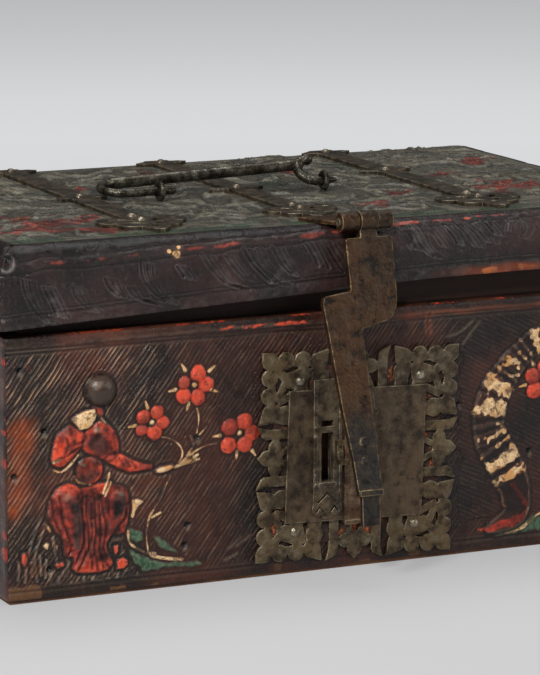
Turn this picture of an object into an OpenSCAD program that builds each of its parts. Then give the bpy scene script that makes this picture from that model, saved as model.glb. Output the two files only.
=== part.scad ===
// Leather-covered wooden coffer with pierced iron fittings, a hasp lock and a swing handle.
// Millimetres. +X runs right along the front, the front faces -Y, +Z is up.
// The origin is the centre of the body's underside.

/* [Body] */
// Width of the body over its leather
body_w = 270; // [240:1:320]
// Depth of the body over its leather
body_d = 170; // [150:1:210]
// Height of the ledge round the top of the body
ledge_h = 96; // [92:1:112]
// Thickness of the wall boards
board_t = 10; // [9:0.5:14]
// Thickness of the bottom board
bottom_t = 8; // [5:0.5:12]
// Thickness of the leather
leather_t = 1.2; // [0.8:0.1:1.6]
// Thickness of the raised lip inside the ledge
lip_t = 4.5; // [3.5:0.1:6]
// Height of the lip above the ledge
lip_h = 12; // [11:0.5:14]
// Height of the leather's lower edge above the floor
leather_foot = 1; // [0.5:0.1:3]

/* [Lid] */
// How far the lid stands out past the body
overhang = 3; // [2.4:0.1:4]
// Height of the lid's flat top above the ledge
lid_rise = 32; // [30:0.5:40]
// Radius of the lid's rounded shoulder
shoulder_r = 8; // [6:0.5:9]
// Thickness of the lid's top board
lid_board_t = 8.8; // [7:0.2:10]
// Thickness of the lid's rails
rail_t = 13; // [12.5:0.5:15]
// Gap between the lid's rim and the ledge at the left end
rim_left = 3; // [1:0.5:6]
// Gap between the lid's rim and the ledge right of the middle
rim_right = 10.5; // [4:0.5:10.5]
// Clearance between the lid's rails and the lip
lip_gap = 0.5; // [0.4:0.1:1]
// Clearance between the lid's bearing shoulder and the lip
seat_gap = 0.3; // [0.1:0.1:0.6]

/* [Lock plate] */
// Width of the pierced lock plate
plate_w = 79.5; // [76:0.5:90]
// Height of the pierced lock plate
plate_h = 77.5; // [76:0.5:82]
// Sideways place of the lock plate
plate_x = 1.5; // [-10:0.5:10]
// Lean of the lock plate in degrees
plate_lean = 2; // [0:0.5:3]
// Thickness of the pierced lock plate
plate_t = 1; // [0.8:0.1:1.2]
// Thickness of the cloth beneath the plate
underlay_t = 0.3; // [0.2:0.1:0.5]
// Width of the plain cover plate
cover_w = 55.5; // [53:0.5:57]
// Height of the plain cover plate
cover_h = 49; // [47:0.5:51]
// Thickness of the cover plate and its raised frames
cover_t = 0.8; // [0.6:0.1:0.9]
// Width of the slot for the hasp's staple
slot_w = 5; // [4.6:0.1:5.4]
// Height of the slot for the hasp's staple
slot_h = 23; // [22:0.5:25]
// Radius of the keyhole's round part
keyhole_r = 2.2; // [1.8:0.1:2.6]

/* [Hasp] */
// Radius of the hinge knuckles
knuckle_r = 3.3; // [3:0.1:3.8]
// Radius of the hasp's hinge pin
hasp_pin_r = 1.5; // [1.2:0.1:1.8]
// Thickness of the hasp
hasp_t = 2.4; // [2:0.1:2.8]
// Width of the hasp above its dog-leg
hasp_top_w = 18.5; // [17:0.5:20]
// Drop from the pin to the dog-leg
hasp_drop = 25.5; // [23:0.5:28]
// Sideways step of the dog-leg
hasp_step = 11; // [10:0.5:12]
// Length of the hasp below its pin
hasp_len = 110; // [104:0.5:112]
// Width of the hasp's tail at its end
tail_w = 9.2; // [9:0.2:11]
// Angle at which the hasp hangs out from the lock
hasp_swing = 12; // [11:0.5:14]
// Height of the staple on the hasp
staple_h = 9; // [8:0.5:10]
// Reach of the staple past the hasp's mid plane
staple_reach = 13.6; // [13:0.1:14]
// Thickness of the staple
staple_t = 2.2; // [2:0.1:2.4]

/* [Lock] */
// Thickness of the sliding bolt
bolt_t = 2; // [1.6:0.1:2.4]
// Height of the sliding bolt
bolt_h = 3; // [2.6:0.1:3.2]
// Travel of the sliding bolt
bolt_travel = 8.5; // [8:0.5:9]

/* [Straps] */
// Distance of the outer straps from the middle strap, left
strap_left = 64; // [54:1:70]
// Distance of the outer straps from the middle strap, right
strap_right = 73; // [60:1:76]
// Width of the straps
strap_w = 9; // [8:0.5:10]
// Thickness of the straps
strap_t = 1.4; // [1.2:0.1:1.6]
// Length of the pierced finial at the front of a strap
finial_l = 32; // [28:1:34]
// Width of that finial on the outer straps
finial_w = 34; // [28:1:36]
// Radius of the lid hinge's barrel
barrel_r = 2.8; // [2.5:0.1:3.2]
// Radius of the lid hinge's pins
lid_pin_r = 1.3; // [1.1:0.1:1.5]
// Width of each lid hinge
barrel_w = 12; // [11:0.5:14]
// Length of the hinge leaf down the back
leaf_l = 46; // [36:1:60]

/* [Handle] */
// Distance between the handle's two eyes
eye_span = 68; // [62:1:84]
// Radius of the handle's grip
grip_r = 2.2; // [2:0.1:2.9]
// Radius of the handle's ends where they turn in the eyes
stub_r = 1.6; // [1.4:0.1:1.9]
// Distance of the grip from the pivot at its left end
grip_reach = 15; // [14:0.5:20]
// Height of the handle's pivot above the lid
pivot_rise = 3.8; // [3.7:0.1:4.5]
// Angle at which the handle lies back on the lid
handle_tilt = 6; // [4:0.5:10]

/* [Nails] */
// Radius of the nail shanks
shank_r = 0.9; // [0.7:0.1:1]
// Radius of the domed nail heads
head_r = 1.9; // [1.7:0.1:2]
// Radial clearance round shanks and pins
pin_gap = 0.05; // [0.02:0.01:0.09]

/* [Hidden] */
$fn = 48;
cut = 1; // how far a cutting shape runs past what it cuts

// Body
half_w = body_w / 2;
half_d = body_d / 2;
wood_w = half_w - leather_t;
wood_d = half_d - leather_t;
ledge_wood = ledge_h - leather_t;
inner_w = wood_w - board_t;
inner_d = wood_d - board_t;
lip_w = inner_w + lip_t;
lip_d = inner_d + lip_t;
lip_top = ledge_h + lip_h;
front_y = -half_d;

// Lid
lid_w = half_w + overhang;
lid_d = half_d + overhang;
lid_top = ledge_h + lid_rise;
rail_top = lid_top - leather_t - lid_board_t;
rail_in_w = lid_w - leather_t - rail_t;
rail_in_d = lid_d - leather_t - rail_t;
seat_z = lip_top + seat_gap;
rim_bend_x = 30;

// Lock plate and what lies on it, front to back
plate_z = ledge_h / 2 - 5;
plate_back = front_y - underlay_t;
cover_back = plate_back - plate_t;
frame_back = cover_back - cover_t;
slot_x = plate_x - 13.2;
slot_z = plate_z + 2.2;
frame_w = slot_w + 6.2;
frame_h = slot_h + 19;
frame_z = slot_z + 5.7;
bridge_h = 2.2;
bridge_z = slot_z + slot_h / 2 - 3.4;
strip_x = plate_x - 2.6;
strip_w = 6.9;
strip_h = 35;
strip_z = plate_z - 8.5;
keyhole_x = plate_x + 0.4;
keyhole_z = plate_z + 20.5;
guard_r = keyhole_r + 2.8;
cover_shift = 1.2; // how far the cover plate sits left of the lock plate's middle
bead_t = 0.3; // raised edge on the frame and the guide
bead_w = 1.6;
bead_places = [0.07, 0.16, 0.5, 0.58, 0.86]; // of the frame's height
nail_x = 24.3;
nail_z = 27.9;

// Hasp, given at its closed place
pin_y = front_y - 5.6;
pin_z = lid_top + 1.5;
hasp_x = plate_x + 0.3;
hasp_back = pin_y + hasp_t / 2;
staple_x = slot_x + 1.1;
staple_z = bridge_z - bridge_h / 2 - 0.6 - staple_h / 2;
bolt_z = staple_z;
bolt_y = front_y + 4.5;
knuckle_w = 6.7;
knuckle_gap = 0.5;
knuckle_grow = 0.4; // how much thicker the hasp's own knuckle is
leaf_left = hasp_x - 10.7;
leaf_right = hasp_x + 9.5;
tail_x = hasp_x - 7.7;
leg_w = 14.7; // width of the hasp just below its dog-leg

// Recess for the lock in the front board
recess_w = 50;
recess_h = 34;
recess_deep = board_t - 2;
recess_z = plate_z + 7;

// Lid hinge
barrel_y = lid_d + barrel_r + 0.1;
barrel_z = ledge_h + 1.6;
tongue_w = 4;
side_gap = 0.2;
strap_shift = 8.5; // how far the middle strap lies left of the lock plate's middle
strap_x = plate_x - strap_shift;
strap_xs = [strap_x - strap_left, strap_x, strap_x + strap_right];

// Handle
handle_shift = 45.5; // how far the left eye lies left of the lock plate's middle
bend_out = 13; // how far the turned-back end reaches past the left eye
eye_x = [plate_x - handle_shift, plate_x - handle_shift + eye_span];
pivot_y = -9.5;
pivot_z = lid_top + pivot_rise;
eye_wire = 1.1;

iron = [0.33, 0.30, 0.27];
brown_iron = [0.38, 0.29, 0.20];
dark_wood = [0.36, 0.24, 0.15];
dark_leather = [0.19, 0.11, 0.08];

// Flat shape in X and Z, pushed out towards the front from the plane y
module on_front(y, t) {
    translate([0, y, 0]) rotate([90, 0, 0]) linear_extrude(t) children();
}

// Flat shape in X and Z, pushed both ways along Y
module along_y(length) {
    rotate([90, 0, 0]) linear_extrude(length, center = true) children();
}

// Flat shape in Y and Z, pushed both ways along X
module along_x(length) {
    rotate([90, 0, 90]) linear_extrude(length, center = true) children();
}

module flip(v, on) {
    if (on) mirror(v) children();
    else children();
}

module four_ways() {
    for (a = [false, true], b = [false, true])
        flip([1, 0, 0], a) flip([0, 1, 0], b) children();
}

module block(low, high) {
    translate(low) cube(high - low);
}

module rod_x(x0, x1, r) {
    translate([x0, 0, 0]) rotate([0, 90, 0]) cylinder(h = x1 - x0, r = r);
}

module rod_y(y0, y1, r) {
    translate([0, y0, 0]) rotate([-90, 0, 0]) cylinder(h = y1 - y0, r = r);
}

// Pointed oval made by two arcs
module dagger(length, width) {
    r = length * length / (4 * width) + width / 4;
    intersection() {
        translate([0, width / 2 - r]) circle(r);
        translate([0, r - width / 2]) circle(r);
    }
}

// Nail along -Z with a domed head that stands on z = 0
module nail(length, r = head_r, h = 1.2) {
    dome_r = (r * r + h * h) / (2 * h);
    translate([0, 0, -length]) cylinder(h = length + h / 2, r = shank_r);
    intersection() {
        translate([0, 0, h - dome_r]) sphere(dome_r);
        cylinder(h = h + cut, r = r + cut);
    }
}

module nail_bore(length) {
    translate([0, 0, -length - cut]) cylinder(h = length + 2 * cut + 4, r = shank_r + pin_gap);
}

// Boards

module recess_space() {
    block([plate_x - recess_w / 2, -wood_d - cut, recess_z - recess_h / 2],
        [plate_x + recess_w / 2, -wood_d + recess_deep, recess_z + recess_h / 2]);
}

// Board across the width, with the raised lip along its inner edge
module long_board() {
    block([-wood_w, -wood_d, bottom_t], [wood_w, -inner_d, ledge_wood]);
    block([-lip_w, -lip_d, ledge_wood - cut], [lip_w, -inner_d, lip_top]);
}

module end_board() {
    block([-wood_w, -inner_d, bottom_t], [-inner_w, inner_d, ledge_wood]);
    block([-lip_w, -inner_d, ledge_wood - cut], [-inner_w, inner_d, lip_top]);
}

peg_r = 2;
peg_in = board_t / 2;
wall_peg_l = 26;
peg_foot = 0.4;
bottom_peg_l = bottom_t + 14;
function peg_heights() = [bottom_t + 14, ledge_wood / 2 + 6, ledge_wood - 10];

// Pegs from the long boards into the end boards, and from below into all four walls.
// For the holes they are drawn thicker by a gap and longer by a run past the surface.
module wall_peg_set(gap, past) {
    for (a = [false, true], b = [false, true]) flip([1, 0, 0], a) flip([0, 1, 0], b) {
        for (z = peg_heights())
            translate([-inner_w - peg_in, 0, z])
                rod_y(-wood_d - past, -wood_d + wall_peg_l + gap, peg_r + gap);
        for (x = [-inner_w * 0.7, -inner_w * 0.25])
            translate([x, -inner_d - peg_in, peg_foot - past])
                cylinder(h = bottom_peg_l + past + gap, r = peg_r + gap);
        translate([-inner_w - peg_in, -inner_d * 0.45, peg_foot - past])
            cylinder(h = bottom_peg_l + past + gap, r = peg_r + gap);
    }
}

module wall_pegs() {
    color(dark_wood) wall_peg_set(0, 0);
}

module bottom_board() {
    color(dark_wood) difference() {
        block([-wood_w, -wood_d, 0], [wood_w, wood_d, bottom_t]);
        wall_peg_set(pin_gap, cut);
    }
}

module front_board() {
    color(dark_wood) difference() {
        long_board();
        wall_peg_set(pin_gap, cut);
        recess_space();
        plate_nail_places() nail_bore(plate_nail_l);
    }
}

module back_board() {
    color(dark_wood) difference() {
        mirror([0, 1, 0]) long_board();
        wall_peg_set(pin_gap, cut);
        leaf_nail_places() nail_bore(leaf_nail_l);
    }
}

module left_end_board() {
    color(dark_wood) difference() {
        end_board();
        wall_peg_set(pin_gap, cut);
    }
}

module right_end_board() {
    color(dark_wood) mirror([1, 0, 0]) difference() {
        end_board();
        wall_peg_set(pin_gap, cut);
    }
}

// Leather round the four walls, turned in over the ledge up to the lip
module body_leather() {
    color(dark_leather) difference() {
        block([-half_w, -half_d, leather_foot], [half_w, half_d, ledge_h]);
        block([-wood_w, -wood_d, 0], [wood_w, wood_d, ledge_wood]);
        block([-lip_w, -lip_d, ledge_wood - cut], [lip_w, lip_d, ledge_h + cut]);
        on_front(-half_d + board_t / 2, board_t) slot_outline();
        on_front(-half_d + board_t / 2, board_t) keyhole_outline(keyhole_r);
        plate_nail_places() nail_bore(plate_nail_l);
        leaf_nail_places() nail_bore(leaf_nail_l);
    }
}

// Lock plate

plate_nail_l = 9;

module plate_place() {
    translate([plate_x, plate_z]) rotate(-plate_lean) children();
}

module plate_nail_places() {
    for (a = [-1, 1], b = [-1, 1])
        translate([plate_x, cover_back, plate_z]) rotate([0, plate_lean, 0])
            translate([a * nail_x, 0, b * nail_z]) rotate([90, 0, 0]) children();
}

module slot_outline() {
    translate([slot_x - slot_w / 2, slot_z - slot_h / 2]) square([slot_w, slot_h]);
}

module keyhole_outline(r) {
    translate([keyhole_x, keyhole_z]) {
        circle(r);
        translate([-r * 0.4, -r * 2.6]) square([r * 0.8, r * 2.6]);
    }
}

lobe_r = 3.2;
lobe_at = [9.4, 16.1];
flare_at = 20;
rib = 2.7;
motif_in = (plate_w - cover_w) / 2 + cover_shift + 1; // reaches under the cover plate

// Straight bar between two points of a flat shape
module bar(from, to, width) {
    d = to - from;
    translate(from) rotate(atan2(d[1], d[0])) translate([0, -width / 2]) square([norm(d), width]);
}

// Half of a corner: the lobes along the side that runs along X
module corner_side() {
    for (x = lobe_at) translate([x, lobe_r]) circle(lobe_r);
    bar([5, lobe_r + 1], [22, lobe_r + 1], rib);
    polygon([[flare_at - 0.6, 5], [flare_at - 0.4, 2], [flare_at + 0.8, 1], [flare_at + 6.6, -0.6],
        [flare_at + 5.8, 5.4], [flare_at + 4.4, 7.6], [flare_at, 7.6]]);
    translate([flare_at + 3.2, 9.4]) circle(3.5);
    bar([flare_at + 3.2, 9.4], [flare_at + 3.2, 16], 5.4);
}

// One corner of the tracery. The corner is at the origin, and both sides run along + axes.
module corner_lobes() {
    nail_at = [plate_w / 2 - nail_x, plate_h / 2 - nail_z];
    square(lobe_r);
    translate([lobe_r, lobe_r]) circle(lobe_r);
    corner_side();
    mirror([1, -1]) corner_side();
    bar([3, 3], [10.8, 11.2], rib + 0.4);
    translate([12, 11.2]) circle(2.6);
    translate(nail_at) circle(3.4);
    bar(nail_at, [16.6, 17], 5);
    bar([10.4, 9.2], [18.6, 6.2], rib);
    bar([9.6, 10.8], [6.4, 18.4], rib);
    bar([6.8, 18.4], [14, 15], rib);
    bar([18.6, 6.2], [17.4, 12], rib);
}

// Middle motif of a side: a quatrefoil between two pointed bars. The side runs along Y.
module side_motif() {
    for (s = [false, true]) flip([0, 1, 0], s) {
        translate([6.4, 3.8]) circle(2.7);
        bar([6.4, 3.6], [6.4, 8.4], 2.8);
        bar([6.2, 0.4], [motif_in + 2, 5.2], 2.2);
        bar([2, 8.7], [motif_in + 2, 8.7], 3.6);
        polygon([[3.6, 7], [3.6, 10.4], [-0.8, 11.6], [1, 7.6]]);
    }
    translate([3.2, 0]) circle(2.9);
    translate([1.4, 0]) rotate(45) square(3, center = true);
    translate([6.2, 0]) circle(3);
}

module plate_outline() {
    a = plate_w / 2;
    b = plate_h / 2;
    difference() {
        union() {
            translate([-cover_shift, 0]) square([cover_w - 1, cover_h - 1], center = true);
            four_ways() translate([-a, -b]) corner_lobes();
            for (s = [false, true]) {
                flip([1, 0, 0], s) translate([-a, 0]) side_motif();
                flip([0, 1, 0], s) translate([0, -b]) rotate(90) side_motif();
            }
        }
        for (s = [-1, 1], u = [-1, 1]) translate([s * nail_x, u * nail_z]) circle(shank_r + pin_gap);
    }
}

module lock_underlay() {
    inset = 6;
    color([0.62, 0.24, 0.12]) difference() {
        on_front(front_y, underlay_t) difference() {
            plate_place() square([plate_w - 2 * inset, plate_h - 2 * inset], center = true);
            slot_outline();
            keyhole_outline(keyhole_r);
        }
        plate_nail_places() nail_bore(plate_nail_l);
    }
}

module lock_plate() {
    color(iron) on_front(plate_back, plate_t) difference() {
        plate_place() plate_outline();
        slot_outline();
        keyhole_outline(keyhole_r);
    }
}

module lock_cover() {
    color([0.36, 0.33, 0.28]) on_front(cover_back, cover_t) difference() {
        plate_place() translate([-cover_shift, 0]) square([cover_w, cover_h], center = true);
        slot_outline();
        keyhole_outline(keyhole_r);
    }
}

// Cut in the shape of a peaked gable
module gable(w, h, t) {
    polygon([[-w / 2, 0], [0, h], [w / 2, 0], [w / 2 - t, -0.3], [0, h - 1.7 * t], [t - w / 2, -0.3]]);
}

// Raised frame round the slot, with beaded edges, a bridge across it and a pierced pendant below
module slot_frame() {
    low = frame_z - frame_h / 2;
    left = slot_x - frame_w / 2;
    bead_back = frame_back - cover_t / 2;
    foot = slot_z - slot_h / 2;
    color([0.36, 0.33, 0.28]) {
        on_front(frame_back, cover_t) difference() {
            union() {
                translate([left, low]) square([frame_w, frame_h]);
                translate([left, low - 6]) square([frame_w, 7]);
                for (x = [-3.5, 0, 3.5]) translate([slot_x + x, low - (x == 0 ? 7.4 : 6.2)]) circle(2.5);
            }
            difference() {
                slot_outline();
                translate([slot_x - slot_w, bridge_z - bridge_h / 2]) square([2 * slot_w, bridge_h]);
            }
            translate([slot_x, low - 3.6]) gable(8.4, 4.2, 0.9);
            for (s = [-1, 1]) translate([slot_x + 3 * s, low - 7.2]) gable(3.8, 2.6, 0.7);
        }
        on_front(bead_back, cover_t / 2 + bead_t) {
            translate([left, low]) square([bead_w, frame_h]);
            translate([left + frame_w - bead_w / 2, low]) square([bead_w / 2, frame_h]);
            translate([slot_x - slot_w / 2 - 1, foot - 1.7]) square([slot_w + 2, 1.5]);
        }
        for (share = bead_places)
            translate([left + bead_w / 2, frame_back - cover_t - bead_t, low + share * frame_h]) sphere(0.6);
    }
}

// Low guide beside the slot, with a ledge at its foot
module guide_strip() {
    color(brown_iron) {
        on_front(frame_back, cover_t)
            translate([strip_x - strip_w / 2, strip_z - strip_h / 2]) square([strip_w, strip_h]);
        on_front(frame_back - cover_t, bead_t)
            translate([strip_x - strip_w / 2, strip_z - strip_h / 2]) square([strip_w, bead_w]);
    }
}

// Arched ring over the keyhole, with out-turned feet
module keyhole_guard() {
    inner = keyhole_r + 1.2;
    foot = [[guard_r + 0.4, -3.6], [guard_r + 2, -5], [guard_r + 1.8, -6.2], [guard_r - 0.8, -5.8], [inner, -3]];
    color(iron) on_front(frame_back, cover_t) translate([keyhole_x, keyhole_z]) polygon([
        for (a = [90:-6:0]) guard_r * [cos(a), sin(a)],
        for (place = foot) place,
        for (a = [0:6:180]) inner * [cos(a), sin(a)],
        for (i = [4:-1:0]) [-foot[i][0], foot[i][1]],
        for (a = [180:-6:96]) guard_r * [cos(a), sin(a)]
    ]);
}

module plate_nails() {
    color([0.5, 0.47, 0.42]) plate_nail_places() nail(plate_nail_l);
}

// Lock works in the recess behind the plate

base_t = 1;
base_back = -wood_d + base_t;
bolt_low = bolt_z - bolt_h / 2;
bolt_shut = slot_x - slot_w / 2 - 0.4;
bolt_rest = bolt_shut + bolt_travel;
bolt_l = 26;
bolt_gap = 0.2;
guide_xs = [bolt_rest + 6, bolt_rest + bolt_l - 4];
guide_w = 3;
guide_wall = 1.2;

module lock_base() {
    margin = 0.4;
    color(iron) difference() {
        union() {
            on_front(base_back, base_t)
                translate([plate_x - recess_w / 2 + margin, recess_z - recess_h / 2 + margin])
                    square([recess_w - 2 * margin, recess_h - 2 * margin]);
            translate([keyhole_x, 0, keyhole_z]) rod_y(base_back - base_t / 2, base_back + 5, 0.9);
        }
        on_front(base_back + cut, base_t + 2 * cut) slot_outline();
        on_front(base_back + cut, base_t + 2 * cut) difference() {
            keyhole_outline(keyhole_r);
            translate([keyhole_x, keyhole_z]) circle(0.9);
            translate([keyhole_x - 0.5, keyhole_z]) square([1, keyhole_r + cut]);
        }
    }
}

// Flat bolt with a talon notch. It lies drawn back, clear of the slot.
module lock_bolt() {
    notch_x = keyhole_x - 2;
    color([0.45, 0.42, 0.38]) difference() {
        block([bolt_rest, bolt_y - bolt_t / 2, bolt_low],
            [bolt_rest + bolt_l, bolt_y + bolt_t / 2, bolt_low + bolt_h]);
        block([notch_x, bolt_y - bolt_t, bolt_low + bolt_h * 0.6],
            [notch_x + 4, bolt_y + bolt_t, bolt_low + bolt_h + cut]);
    }
}

// Bridges over the bolt, seated on the lock's base
module bolt_guides() {
    out = bolt_y + bolt_t / 2 + bolt_gap;
    color(iron) for (x = guide_xs) difference() {
        block([x - guide_w / 2, base_back, bolt_low - bolt_gap - guide_wall],
            [x + guide_w / 2, out + guide_wall, bolt_low + bolt_h + bolt_gap + guide_wall]);
        block([x - guide_w, bolt_y - bolt_t / 2 - bolt_gap, bolt_low - bolt_gap],
            [x + guide_w, out, bolt_low + bolt_h + bolt_gap]);
    }
}

// Bowed leaf spring above the bolt, between the two guides, held in a post on the base
module lock_spring() {
    bow_r = 22;
    leaf = 0.6;
    reach = 9;
    x = guide_xs[1] - guide_w / 2 - 2 * bolt_gap;
    z = bolt_low + bolt_h + bolt_gap + bow_r;
    color([0.4, 0.4, 0.4]) {
        translate([x - reach, bolt_y, z]) intersection() {
            difference() {
                rod_y(-0.9, 0.9, bow_r);
                rod_y(-0.9 - cut, 0.9 + cut, bow_r - leaf);
            }
            block([-1, -1, -bow_r - cut], [reach, 1, -bow_r + 4]);
        }
        top = z - sqrt((bow_r - leaf / 2) * (bow_r - leaf / 2) - (reach - 1) * (reach - 1));
        block([x - 2.2, base_back, top - 1.2], [x, bolt_y + 0.9, top + 2.4]);
    }
}

// Lid hinges

leaf_t = 1.4;
leaf_nail_l = 8;
leaf_low = ledge_h - 6 - leaf_l;
leaf_nail_zs = [leaf_low + 5, leaf_low + leaf_l * 0.62];

module leaf_nail_places() {
    for (x = strap_xs, z = leaf_nail_zs)
        translate([x, half_d + leaf_t, z]) rotate([-90, 0, 0]) children();
}

// Leaf on the back of the body: a pointed plate, cranked out to two knuckles
module hinge_leaf(x) {
    top = barrel_z - barrel_r * 0.4;
    inner = tongue_w / 2 + side_gap;
    color(iron) difference() {
        translate([x, 0, 0]) difference() {
            union() {
                along_x(barrel_w) polygon([[half_d, leaf_low + leaf_l], [half_d, top - 9],
                    [half_d + leaf_t, top - 9], [half_d + leaf_t + 0.4, top - 6.4],
                    [barrel_y + barrel_r * 0.6, top - 1], [barrel_y, top], [barrel_y - 1, top]]);
                translate([0, half_d + leaf_t, 0]) rotate([90, 0, 0]) linear_extrude(leaf_t) {
                    translate([-strap_w / 2, leaf_low + 6]) square([strap_w, leaf_l + 1]);
                    translate([-barrel_w / 2, leaf_low + leaf_l - 4]) square([barrel_w, 6]);
                    translate([0, leaf_low + 4]) rotate(90) dagger(20, 11);
                    for (s = [-1, 1]) translate([s * 5.2, leaf_low + 8]) circle(3);
                }
                translate([0, barrel_y, barrel_z]) rod_x(-barrel_w / 2, barrel_w / 2, barrel_r);
            }
            translate([0, barrel_y, barrel_z]) {
                rod_x(-inner, inner, barrel_r + 0.5);
                rod_x(-barrel_w, barrel_w, lid_pin_r + pin_gap);
            }
            block([-inner, half_d + leaf_t + 0.4, top - 8], [inner, barrel_y + barrel_r + cut, barrel_z + barrel_r]);
        }
        leaf_nail_places() nail_bore(leaf_nail_l);
    }
}

module hinge_leaf_left() {
    hinge_leaf(strap_xs[0]);
}

module hinge_leaf_middle() {
    hinge_leaf(strap_xs[1]);
}

module hinge_leaf_right() {
    hinge_leaf(strap_xs[2]);
}

module hinge_pins() {
    color([0.42, 0.40, 0.36]) for (x = strap_xs)
        translate([x, barrel_y, barrel_z]) rod_x(-barrel_w / 2 - 0.6, barrel_w / 2 + 0.6, lid_pin_r);
}

module leaf_nails() {
    color(iron) leaf_nail_places() nail(leaf_nail_l);
}

// Lid

module shoulder_profile(half, low, top, r) {
    translate([-half, low]) square([2 * half, top - r - low]);
    translate([r - half, low]) square([2 * (half - r), top - low]);
    for (s = [-1, 1]) translate([s * (half - r), top - r]) circle(r);
}

// The lid's outer form, drawn in by an even inset
module lid_form(inset, low) {
    r = shoulder_r - inset;
    intersection() {
        along_y(3 * lid_d) shoulder_profile(lid_w - inset, low, lid_top - inset, r);
        along_x(3 * lid_w) shoulder_profile(lid_d - inset, low, lid_top - inset, r);
    }
}

// Space below the lid's rim, which climbs from the left end towards the right
module below_rim() {
    out = lid_w + 20;
    along_y(3 * lid_d) polygon([[-out, 0], [out, 0], [out, ledge_h + rim_right],
        [rim_bend_x, ledge_h + rim_right - 0.5], [-lid_w, ledge_h + rim_left], [-out, ledge_h + rim_left]]);
}

// Space inside the rails: open middle, and the rebate that passes down round the lip
module inside_rails() {
    block([-rail_in_w, -rail_in_d, 0], [rail_in_w, rail_in_d, rail_top]);
    block([-lip_w - lip_gap, -lip_d - lip_gap, 0], [lip_w + lip_gap, lip_d + lip_gap, seat_z]);
}

module rails() {
    difference() {
        lid_form(leather_t, ledge_h);
        below_rim();
        inside_rails();
        block([-2 * lid_w, -2 * lid_d, rail_top], [2 * lid_w, 2 * lid_d, lid_top + cut]);
    }
}

lid_peg_l = lid_board_t + 7;

module lid_peg_set(gap, past) {
    x = lid_w - leather_t - rail_t * 0.62;
    y = lid_d - leather_t - rail_t * 0.62;
    low = lid_top - leather_t - 0.6 - lid_peg_l;
    for (a = [-1, 1]) {
        for (b = [-0.75, -0.25, 0.25, 0.75]) translate([b * x, a * y, low - gap])
            cylinder(h = lid_peg_l + gap + past, r = peg_r + gap);
        for (b = [-0.45, 0.45]) translate([a * x, b * y, low - gap])
            cylinder(h = lid_peg_l + gap + past, r = peg_r + gap);
    }
}

module lid_pegs() {
    color(dark_wood) lid_peg_set(0, 0);
}

module lid_holes() {
    strap_nail_places() nail_bore(strap_nail_l);
    for (x = eye_x) translate([x, pivot_y, rail_top - 1])
        cylinder(h = lid_board_t + 2 * leather_t + 2, r = eye_wire + pin_gap);
}

module lid_board() {
    color(dark_wood) difference() {
        intersection() {
            lid_form(leather_t, ledge_h);
            block([-lid_w, -lid_d, rail_top], [lid_w, lid_d, lid_top]);
        }
        lid_peg_set(pin_gap, cut);
        lid_holes();
    }
}

module lid_front_rail() {
    color(dark_wood) difference() {
        intersection() {
            rails();
            block([-lid_w, -lid_d, 0], [lid_w, -rail_in_d, lid_top]);
        }
        lid_peg_set(pin_gap, cut);
    }
}

module lid_back_rail() {
    color(dark_wood) difference() {
        intersection() {
            rails();
            block([-lid_w, rail_in_d, 0], [lid_w, lid_d, lid_top]);
        }
        lid_peg_set(pin_gap, cut);
    }
}

module lid_left_rail() {
    color(dark_wood) difference() {
        intersection() {
            rails();
            block([-lid_w, -rail_in_d, 0], [-rail_in_w, rail_in_d, lid_top]);
        }
        lid_peg_set(pin_gap, cut);
    }
}

module lid_right_rail() {
    color(dark_wood) difference() {
        intersection() {
            rails();
            block([rail_in_w, -rail_in_d, 0], [lid_w, rail_in_d, lid_top]);
        }
        lid_peg_set(pin_gap, cut);
    }
}

module lid_leather() {
    color(dark_leather) difference() {
        lid_form(0, ledge_h);
        lid_form(leather_t, 0);
        below_rim();
        lid_holes();
    }
}

// Straps over the lid

strap_front_y = -lid_d + shoulder_r + 3 + finial_l;
finial_cut = [0, 5, 0]; // how much shorter and narrower each finial is
knot_ys = [4, 3, 22];
wing_y = lid_d - shoulder_r - 4;
strap_nail_l = 7;

// Pierced tongue that narrows to a point. Its base is at the origin and it points to -Y.
module finial(length, width) {
    difference() {
        union() {
            translate([-strap_w / 2, -length * 0.3]) square([strap_w, length * 0.3 + 1]);
            for (s = [-1, 1]) {
                translate([s * width * 0.32, -length * 0.3]) circle(width * 0.18);
                translate([s * width * 0.2, -length * 0.58]) circle(width * 0.16);
                translate([s * width * 0.4, -length * 0.42]) rotate(s * 24) dagger(width * 0.22, width * 0.12);
            }
            translate([0, -length * 0.32]) circle(width * 0.22);
            translate([0, -length * 0.55]) circle(width * 0.18);
            translate([0, -length * 0.72]) rotate(90) dagger(length * 0.56, width * 0.3);
        }
        for (s = [-1, 1]) {
            translate([s * width * 0.17, -length * 0.34]) rotate(s * 58) dagger(width * 0.24, width * 0.09);
            translate([s * width * 0.12, -length * 0.56]) rotate(s * 48) dagger(width * 0.2, width * 0.08);
            translate([s * width * 0.36, -length * 0.3]) circle(width * 0.045);
        }
        translate([0, -length * 0.74]) rotate(90) dagger(length * 0.16, width * 0.08);
    }
}

// Cross bar with pointed ends and a round boss
module wings(width) {
    dagger(width, width * 0.28);
    circle(width * 0.17);
    for (s = [-1, 1]) translate([s * width * 0.33, 0]) circle(width * 0.1);
}

function strap_finial_l(i) = finial_l - finial_cut[i];

module strap_nail_places() {
    for (i = [0:2]) translate([strap_xs[i], 0, lid_top + strap_t]) {
        translate([0, strap_front_y - strap_finial_l(i) * 0.32, 0]) children();
        translate([0, strap_front_y - 1.5, 0]) children();
        translate([0, knot_ys[i], 0]) children();
        translate([0, wing_y, 0]) children();
    }
}

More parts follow.
